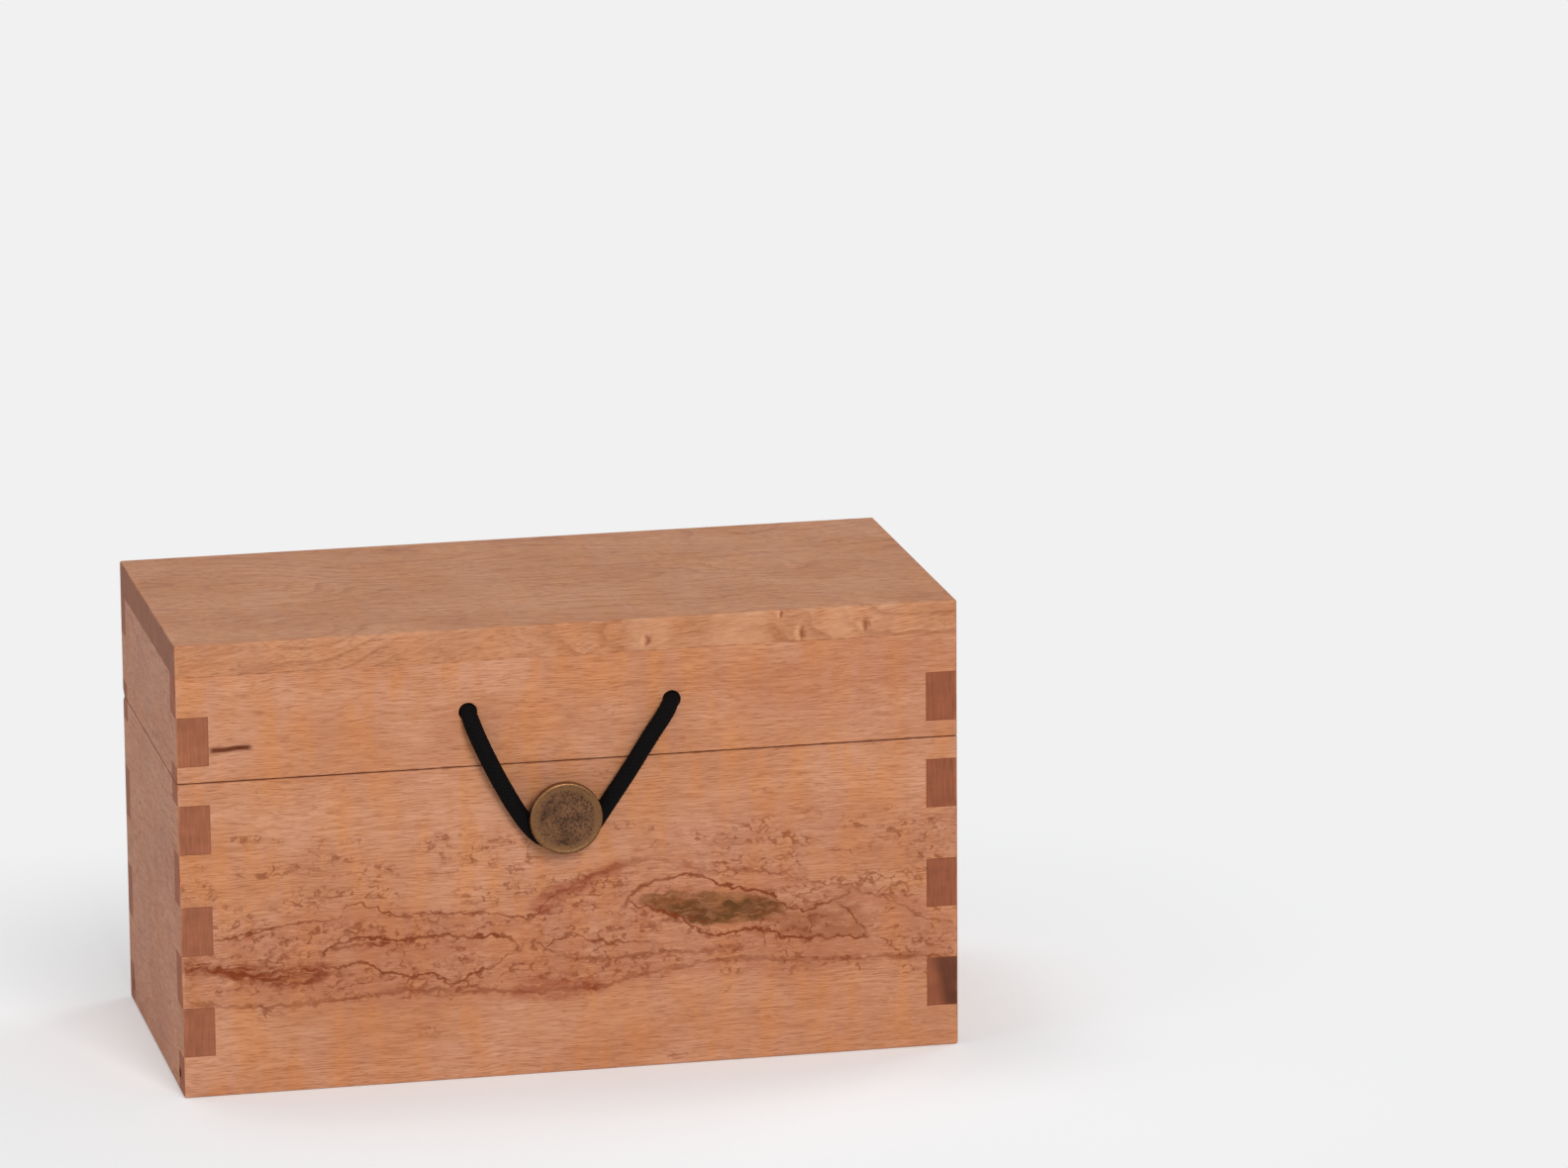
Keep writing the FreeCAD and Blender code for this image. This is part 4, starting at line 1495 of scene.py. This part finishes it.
@dataclass
class Button:
    """The turned brass button: a flat head with a low rim on a waisted neck."""

    neck: float = 4.4
    waist: float = 0.25
    fillet: float = 0.3
    neck_length: float = 4.6
    head: float = 9.0
    thickness: float = 2.2
    edge: float = 0.5
    dip: Line = ((8.3, 0.0), (8.15, 0.02), (8.0, 0.06), (7.8, 0.08), (6.0, 0.09), (3.0, 0.09), (0.0, 0.09))
    sides: int = 160
    finish: ButtonFinish = ButtonFinish(
        "antique_brass", paint(119, 84, 60), paint(132, 95, 62), paint(42, 32, 29), 1.2, 0.34, 0.7
    )

    def profile(self) -> np.ndarray:
        """Give the outline as radius and distance from the front, from the neck's foot to the face's middle.

        The neck flares at both ends by the square of the way to its middle. Quarter circles round the
        head's two edges, and the face dips by a few hundredths inside the rim.

        Returns:
            The outline, in millimetres.
        """
        way = np.linspace(-1, 1, 15)
        flare = self.neck - self.waist + self.waist * way**2
        neck = np.column_stack([flare, (way + 1) / 2 * (self.neck_length - 0.05)])
        quarter = np.linspace(0, math.pi / 2, 9)
        back, out = self.neck_length, self.neck_length + self.thickness
        inner = self.head - self.edge
        sine, cosine = self.edge * np.sin(quarter), self.edge * np.cos(quarter)
        under = np.column_stack([inner + sine, back + self.edge - cosine])
        upper = np.column_stack([inner + cosine, out - self.edge + sine])
        radius, depth = np.array(self.dip).T
        face = np.column_stack([radius, out - depth])
        return np.vstack([neck, [[self.neck + self.fillet, back]], under, upper, face])

    def build(self) -> bpy.types.Object:
        """Turn the outline about the button's axis: radius times cosine and sine, and out along the axis.

        Returns:
            The button.
        """
        outline = self.profile()
        turn = np.linspace(0, 2 * math.pi, self.sides, endpoint=False)
        x = BUTTON_X + outline[:, :1] * np.cos(turn)
        y = FRONT - np.repeat(outline[:, 1:], self.sides, 1)
        z = BUTTON_Z + outline[:, :1] * np.sin(turn)
        travel = np.concatenate([[0.0], np.cumsum(np.linalg.norm(np.diff(outline, axis=0), axis=1))])
        piece = Sheet(np.stack([x, y, z], -1) * MM, travel).build("turned_button")
        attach(piece, "body")
        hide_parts("button")
        return piece


@dataclass
class Boards:
    """The wooden boards of box and lid, whose solids stay as they are."""

    front: WoodFinish = FrontWood(
        "front_board", Fibres.ALONG_X, paint(205, 147, 114), paint(194, 132, 97), paint(163, 94, 65),
        shimmer=0.6,
    )
    top: WoodFinish = WoodFinish(
        "top_board", Fibres.ALONG_X, paint(201, 144, 109), paint(190, 130, 93), paint(153, 95, 68),
        seed=(310.0, 40.0, 90.0), density=0.15, rings=0.28, lean_y=-0.1, lean_z=0.06, shimmer=0.3,
        eyes=(Eye(18.8, 107.8), Eye(57.3, 107.4), Eye(73.2, 108.6), Eye(52.4, 112.4, 1.3)),
        bars=tuple(
            Stain(((a, 120.0), (b, 120.0)), ((a, 100.0), (b, 100.0)), paint(224, 170, 132), 0.28, 1.2)
            for a, b in ((14.0, 26.0), (35.0, 50.0), (63.0, 72.0))
        ),
    )
    back: WoodFinish = WoodFinish(
        "back_board", Fibres.ALONG_X, paint(208, 150, 115), paint(196, 134, 97), paint(160, 96, 68),
        seed=(-420.0, 15.0, 60.0), density=0.5, rings=0.5,
    )
    # The left end is a little darker than the other boards: partly its own tone, partly painted shade of this
    # shaded end.
    left: WoodFinish = WoodFinish(
        "left_board_with_painted_shade", Fibres.ALONG_Y, paint(195, 136, 106), paint(185, 123, 92), paint(160, 98, 71),
        seed=(150.0, 0.0, 220.0), density=0.3, rings=0.2, lean_z=0.04,
    )
    right: WoodFinish = WoodFinish(
        "right_board", Fibres.ALONG_Y, paint(206, 148, 113), paint(196, 134, 98), paint(149, 86, 60),
        seed=(-90.0, 0.0, 510.0), density=0.4, rings=0.4,
        end_stains=(
            Stain(
                ((88.0, 26.0), (95.0, 26.0), (104.0, 26.0)),
                ((88.0, 30.0), (91.0, 21.0), (93.0, 12.0), (95.0, 4.0), (104.0, 4.0)),
                paint(48, 26, 18), 0.66, 8.0,
            ),
        ),
    )
    floor: WoodFinish = WoodFinish(
        "floor_panel", Fibres.ALONG_X, paint(214, 170, 132), paint(204, 155, 116), paint(150, 104, 76),
        seed=(80.0, 700.0, 30.0), density=0.15, rings=0.45, ring_pitch=9.0,
    )

    def dress(self, effects: SharedEffects) -> dict[str, bpy.types.Material]:
        """Build each board's finish.

        Args:
            effects: the shared effects.

        Returns:
            The finish of each wooden node.
        """
        front, back, left, right = (
            finish.material(effects) for finish in (self.front, self.back, self.left, self.right)
        )
        return {
            "body_front": front,
            "lid_front": front,
            "body_back": back,
            "lid_back": back,
            "body_left_end": left,
            "lid_left_end": left,
            "body_right_end": right,
            "lid_right_end": right,
            "lid_top": self.top.material(effects),
            "bottom_panel": self.floor.material(effects),
        }


@dataclass
class Hardware:
    """Hinges, screws and washer, whose solids stay as they are."""

    brass: BrassFinish = BrassFinish(
        "hinge_brass", paint(172, 140, 90), paint(194, 164, 112), paint(122, 96, 60), 3.0, 0.3, 0.16
    )
    screw_brass: BrassFinish = BrassFinish(
        "screw_brass", paint(170, 138, 90), paint(196, 166, 114), paint(104, 82, 52), 0.9, 0.32, 0.25
    )
    steel: BrassFinish = BrassFinish(
        "screw_steel", paint(168, 168, 166), paint(206, 206, 204), paint(104, 102, 98), 1.2, 0.28, 0.3
    )

    def dress(self, effects: SharedEffects) -> dict[str, bpy.types.Material]:
        """Build each metal's finish.

        Args:
            effects: the shared effects.

        Returns:
            The finish of each metal node.
        """
        brass, screws, steel = (
            finish.material(effects) for finish in (self.brass, self.screw_brass, self.steel)
        )
        dressed = {
            "button_screw": steel,
            "button_washer": steel,
            "hinge_body_screws": screws,
            "hinge_lid_screws": screws,
        }
        for side in ("left", "right"):
            dressed[f"{side}_hinge_pin"] = screws
            dressed[f"{side}_hinge_body_leaf"] = brass
            dressed[f"{side}_hinge_lid_leaf"] = brass
        return dressed


@dataclass(frozen=True)
class Lamp:
    """A square soft lamp: its place and size in metres, and its power in watts."""

    name: str
    place: tuple[float, float, float]
    size: float
    power: float

    def hang(self, target: Vector) -> None:
        """Hang the lamp so that it looks at a target.

        Args:
            target: the place that it looks at.
        """
        data = bpy.data.lights.new(self.name, "AREA")
        data.size = self.size
        data.energy = self.power
        lamp = bpy.data.objects.new(self.name, data)
        look = (target - Vector(self.place)).to_track_quat("-Z", "Y")
        lamp.matrix_world = Matrix.Translation(self.place) @ look.to_matrix().to_4x4()
        bpy.context.scene.collection.objects.link(lamp)


@dataclass
class Studio:
    """Camera, lamps, floor and surroundings, in metres and degrees.

    The floor takes shadows within near_floor of the box and is evenly pale beyond far_floor, both in
    millimetres.
    """

    place: tuple[float, float, float] = (-0.38365, -2.05197, 0.61915)
    turn: float = -12.2715
    tilt: float = 13.6439
    roll: float = -0.4568
    lens: float = 199.45
    sensor: float = 36.0
    pale: Colour = paint(241, 241, 241)
    floor_pale: Colour = paint(239, 241, 243)
    floor_deep: Colour = paint(235, 237, 238)
    floor_mottle: float = 0.1
    floor_lift: float = 0.235
    near_floor: float = 10.0
    far_floor: float = 160.0
    floor_reach: float = 40.0
    floor_drop: float = 0.00004
    surround: float = 0.3
    lamp_target: tuple[float, float, float] = (0.0, 0.0, 0.05)
    lamps: tuple[Lamp, ...] = (
        Lamp("key", (0.2, -1.9, 1.05), 0.8, 24.5),
        Lamp("overhead", (-0.4, 0.4, 2.0), 0.7, 6.8),
        Lamp("rear", (1.6, 1.0, 1.0), 0.9, 8.0),
        Lamp("side", (-1.9, -0.75, 0.55), 0.9, 6.0),
    )

    def camera(self) -> None:
        """Set up the camera that sees the box a little from its left and from above."""
        data = bpy.data.cameras.new("camera")
        data.sensor_fit = "HORIZONTAL"
        data.sensor_width = self.sensor
        data.lens = self.lens
        camera = bpy.data.objects.new("camera", data)
        turned = Matrix.Rotation(math.radians(self.turn), 4, "Z")
        tilted = Matrix.Rotation(math.radians(90 - self.tilt), 4, "X")
        rolled = Matrix.Rotation(math.radians(self.roll), 4, "Z")
        camera.matrix_world = Matrix.Translation(self.place) @ turned @ tilted @ rolled
        bpy.context.scene.collection.objects.link(camera)
        bpy.context.scene.camera = camera

    @staticmethod
    def seen(w: Wiring) -> Socket:
        """Find the rays that see the surroundings as a picture: from the camera, in gloss and through glass.

        Args:
            w: wiring of a material or of the world.

        Returns:
            1 for such rays.
        """
        rays = w.add("ShaderNodeLightPath").outputs
        return w.strongest(rays["Is Camera Ray"], rays["Is Glossy Ray"], rays["Is Transmission Ray"])

    def surroundings(self) -> None:
        """Light the scene evenly from all round, and show the surroundings as pale as the floor."""
        world = bpy.data.worlds.new("surroundings")
        world.use_nodes = True
        w = Wiring(world.node_tree)
        shade = world.node_tree.nodes["Background"]
        shade.inputs["Color"].default_value = self.pale
        w.feed(shade.inputs["Strength"], w.ease(self.seen(w), 0.0, 1.0, self.surround, 1.0))
        bpy.context.scene.world = world

    def floor(self) -> None:
        """Lay a wide pale floor that takes shadows near the box and is evenly pale far from it."""
        ends = (-self.floor_reach, self.floor_reach)
        x, y, z = np.meshgrid(ends, ends, -self.floor_drop)
        mesh = bpy.data.meshes.new("floor")
        mesh.from_pydata(np.column_stack([x.ravel(), y.ravel(), z.ravel()]), [], [(0, 1, 3, 2)])
        surface = Surface("pale_floor")
        w = surface.wiring
        place = w.millimetres()
        x_mm, y_mm, _ = w.split(place)
        off_x = w.math("MAXIMUM", w.math("SUBTRACT", w.math("ABSOLUTE", x_mm), HALF_WIDTH), 0.0)
        off_y = w.math("MAXIMUM", w.math("SUBTRACT", w.math("ABSOLUTE", y_mm), BACK), 0.0)
        away = w.math("SQRT", w.math("MULTIPLY_ADD", off_x, off_x, w.math("MULTIPLY", off_y, off_y)))
        far, seen = w.ease(away, self.near_floor, self.far_floor), self.seen(w)
        mottle = w.math("MULTIPLY", w.noise(place, (120.0, 120.0, 120.0)), self.floor_mottle)
        plain = w.blend(mottle, self.floor_pale, self.floor_deep)
        glow = w.math("MULTIPLY_ADD", far, 1 - self.floor_lift, self.floor_lift)
        surface.set(
            Base_Color=w.blend(w.math("MULTIPLY", far, seen), plain, (0.0, 0.0, 0.0, 1.0)),
            Roughness=0.9,
            Specular_IOR_Level=0.0,
            Emission_Color=self.pale,
            Emission_Strength=w.math("MULTIPLY", seen, glow),
        )
        mesh.materials.append(surface.material)
        floor = bpy.data.objects.new("floor", mesh)
        bpy.context.scene.collection.objects.link(floor)

    def build(self) -> None:
        """Set up everything round the box."""
        self.camera()
        for lamp in self.lamps:
            lamp.hang(Vector(self.lamp_target))
        self.surroundings()
        self.floor()
        bpy.context.scene.view_settings.view_transform = "Standard"


def main() -> None:
    """Build the studio, dress the solids and add the new pieces."""
    logging.basicConfig(level=logging.INFO, format="%(name)s: %(message)s")
    Studio().build()
    effects = SharedEffects()
    button = Button()
    made = button.build()
    made.data.materials.append(button.finish.material(effects))
    log.info("button: %d points", len(made.data.vertices))
    for piece in ElasticLoop().build():
        log.info("%s: %d points", piece.name, len(piece.data.vertices))
    for group in (Boards(), Hardware()):
        for node, material in group.dress(effects).items():
            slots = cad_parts[node].data.materials
            slots.clear()
            slots.append(material)
            log.info("%s: %s", node, material.name)


if __name__ == "__main__":
    main()
